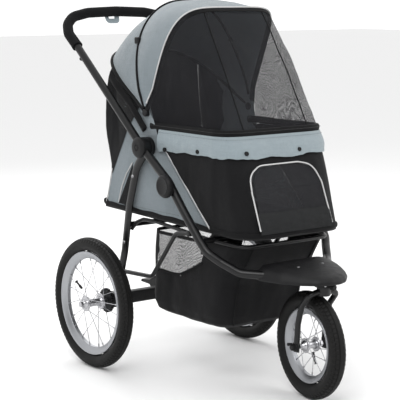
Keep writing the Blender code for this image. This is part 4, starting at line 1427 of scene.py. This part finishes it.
def bow_trim():
    """Bound channels over the bows and the silver piping on the front edge."""
    for bow, name, body, radius in ((REAR_BOW, "rear", "frame", 0.0062),
                                    (MIDDLE_BOW, "middle", "canopy_middle", 0.0046)):
        bm = bmesh.new()
        sweep(bm, bow.arch(121, 0.0125, 0.0035), radius, radius * 0.9, sides=12)
        piece(f"canopy_bow_{name}_binding", bm, BINDING, body, ["canopy_bow_" + name])
    bm = bmesh.new()
    inner = FRONT_BOW.arch(121, 0.0125, -0.003)
    sweep(bm, [p + Vector((0, -0.004, 0)) for p in inner], 0.0105, 0.0030, sides=14,
          across=(0, 1, 0))
    piece("canopy_bow_front_channel", bm, BINDING, "canopy_front", ["canopy_bow_front"])
    bm = bmesh.new()
    sweep(bm, FRONT_BOW.arch(121, 0.026, 0.0045), 0.0023, sides=10)
    piece("canopy_piping", bm, PIPING, "canopy_front")
    bm = bmesh.new()
    for side in (-1, 1):
        clip = MIDDLE_BOW.point(0.5 + side * 0.30, out=0.008)
        block(bm, clip - Vector((0.006, 0.010, 0.010)), clip + Vector((0.006, 0.010, 0.010)),
              0.003)
    piece("canopy_clips", bm, PLASTIC, "canopy_middle")
    bm = bmesh.new()
    for side in (-1, 1):
        pad = [(side * 0.1965, PIVOT.y - AXLE.y + 0.010, PIVOT.z - 0.050),
               (side * 0.1975, PIVOT.y - AXLE.y + 0.080, PIVOT.z + 0.020),
               (side * 0.1965, PIVOT.y - AXLE.y + 0.160, PIVOT.z + 0.075),
               (side * 0.1915, PIVOT.y - AXLE.y + 0.195, PIVOT.z + 0.100)]
        sweep(bm, evenly(rounded([at(*spot) for spot in pad], 0.05, 6), 0.01), 0.0055,
              0.0125, 14, across=(1, 0, 0))
    pads = piece("canopy_leg_pads", bm, BINDING, "frame")


# CAD nodes that keep their shape and take a finish -------------------------------------

def paint_nodes():
    """Finishes for the small nodes that are shown as they come from the frame."""
    plain = {
        PLASTIC: ["fork_head", "swivel_lock", "axle_beam", "axle_housing_right",
                  "axle_housing_left", "brake_ring_right", "brake_ring_left", "brake_pedal",
                  "canopy_pivot_right", "canopy_pivot_left", "fold_button_right",
                  "fold_button_left", "cabin_floor"],
        STEEL: ["hinge_pin_right", "hinge_pin_left", "brake_rod"],
    }
    for finish, names in plain.items():
        for name in names:
            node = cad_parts[name]
            node.data.materials.clear()
            node.data.materials.append(finish)


# Studio -------------------------------------------------------------------------------

def studio():
    """White surroundings that darken on the near side, a pale floor and three lamps."""
    world = bpy.data.worlds.new("studio")
    bpy.context.scene.world = world
    world.use_nodes = True
    sky = world.node_tree.nodes["Background"]
    where = world.node_tree.nodes.new("ShaderNodeTexCoord")
    along = world.node_tree.nodes.new("ShaderNodeVectorMath")
    along.operation = "DOT_PRODUCT"
    along.inputs[1].default_value = (0.55, 0.70, 0.45)
    fade = world.node_tree.nodes.new("ShaderNodeMapRange")
    fade.inputs["From Min"].default_value = -0.45
    fade.inputs["From Max"].default_value = 0.15
    fade.inputs["To Min"].default_value = 0.40
    fade.inputs["To Max"].default_value = 1.15
    world.node_tree.links.new(where.outputs["Generated"], along.inputs[0])
    world.node_tree.links.new(along.outputs["Value"], fade.inputs["Value"])
    world.node_tree.links.new(fade.outputs["Result"], sky.inputs["Strength"])
    sky.inputs["Color"].default_value = (1, 1, 1, 1)
    bpy.context.scene.view_settings.view_transform = "Standard"
    bm = bmesh.new()
    bmesh.ops.create_grid(bm, x_segments=1, y_segments=1, size=30)
    mesh = bpy.data.meshes.new("floor")
    bm.to_mesh(mesh)
    bm.free()
    floor = bpy.data.objects.new("floor", mesh)
    bpy.context.scene.collection.objects.link(floor)
    plain = Finish("studio_floor", (0.86, 0.86, 0.86), 0.9)
    mesh.materials.append(plain.material)
    for name, spot, power, width in (("key", (-2.6, -2.2, 3.2), 95, 2.2),
                                     ("fill", (2.8, -2.4, 2.2), 40, 2.6),
                                     ("back", (0.5, 3.0, 2.8), 60, 2.4)):
        lamp = bpy.data.lights.new(name, "AREA")
        lamp.energy = power
        lamp.size = width
        light = bpy.data.objects.new(name, lamp)
        light.location = spot
        aim = Vector((0, 0, 0.5)) - Vector(spot)
        light.rotation_euler = aim.to_track_quat("-Z", "Y").to_euler()
        bpy.context.scene.collection.objects.link(light)


def camera():
    """A long lens from ahead and to the right, looking a little down."""
    lens = bpy.data.cameras.new("camera")
    lens.lens = 121.5
    lens.sensor_width = 36
    cam = bpy.data.objects.new("camera", lens)
    cam.location = (-2.496, -3.1407, 1.127)
    yaw, pitch = radians(37.67), radians(8.63)
    ahead = Vector((sin(yaw) * cos(pitch), cos(yaw) * cos(pitch), -sin(pitch)))
    cam.rotation_euler = ahead.to_track_quat("-Z", "Y").to_euler()
    bpy.context.scene.collection.objects.link(cam)
    bpy.context.scene.camera = cam


# Assembly -----------------------------------------------------------------------------

for hand, hand_name in SIDES:
    rear_wheel(hand, hand_name)
    side_frame(hand, hand_name)
    side_panels(hand, hand_name)
    side_gore(hand, hand_name)
front_wheel()
fork()
front_cover()
cross_tubes()
handle()
front_wall()
window()
rear_wall()
lower_edges()
front_band()
rim_binding()
cushion()
basket()
canopy_cloth()
canopy_mesh()
bow_trim()
paint_nodes()
studio()
camera()
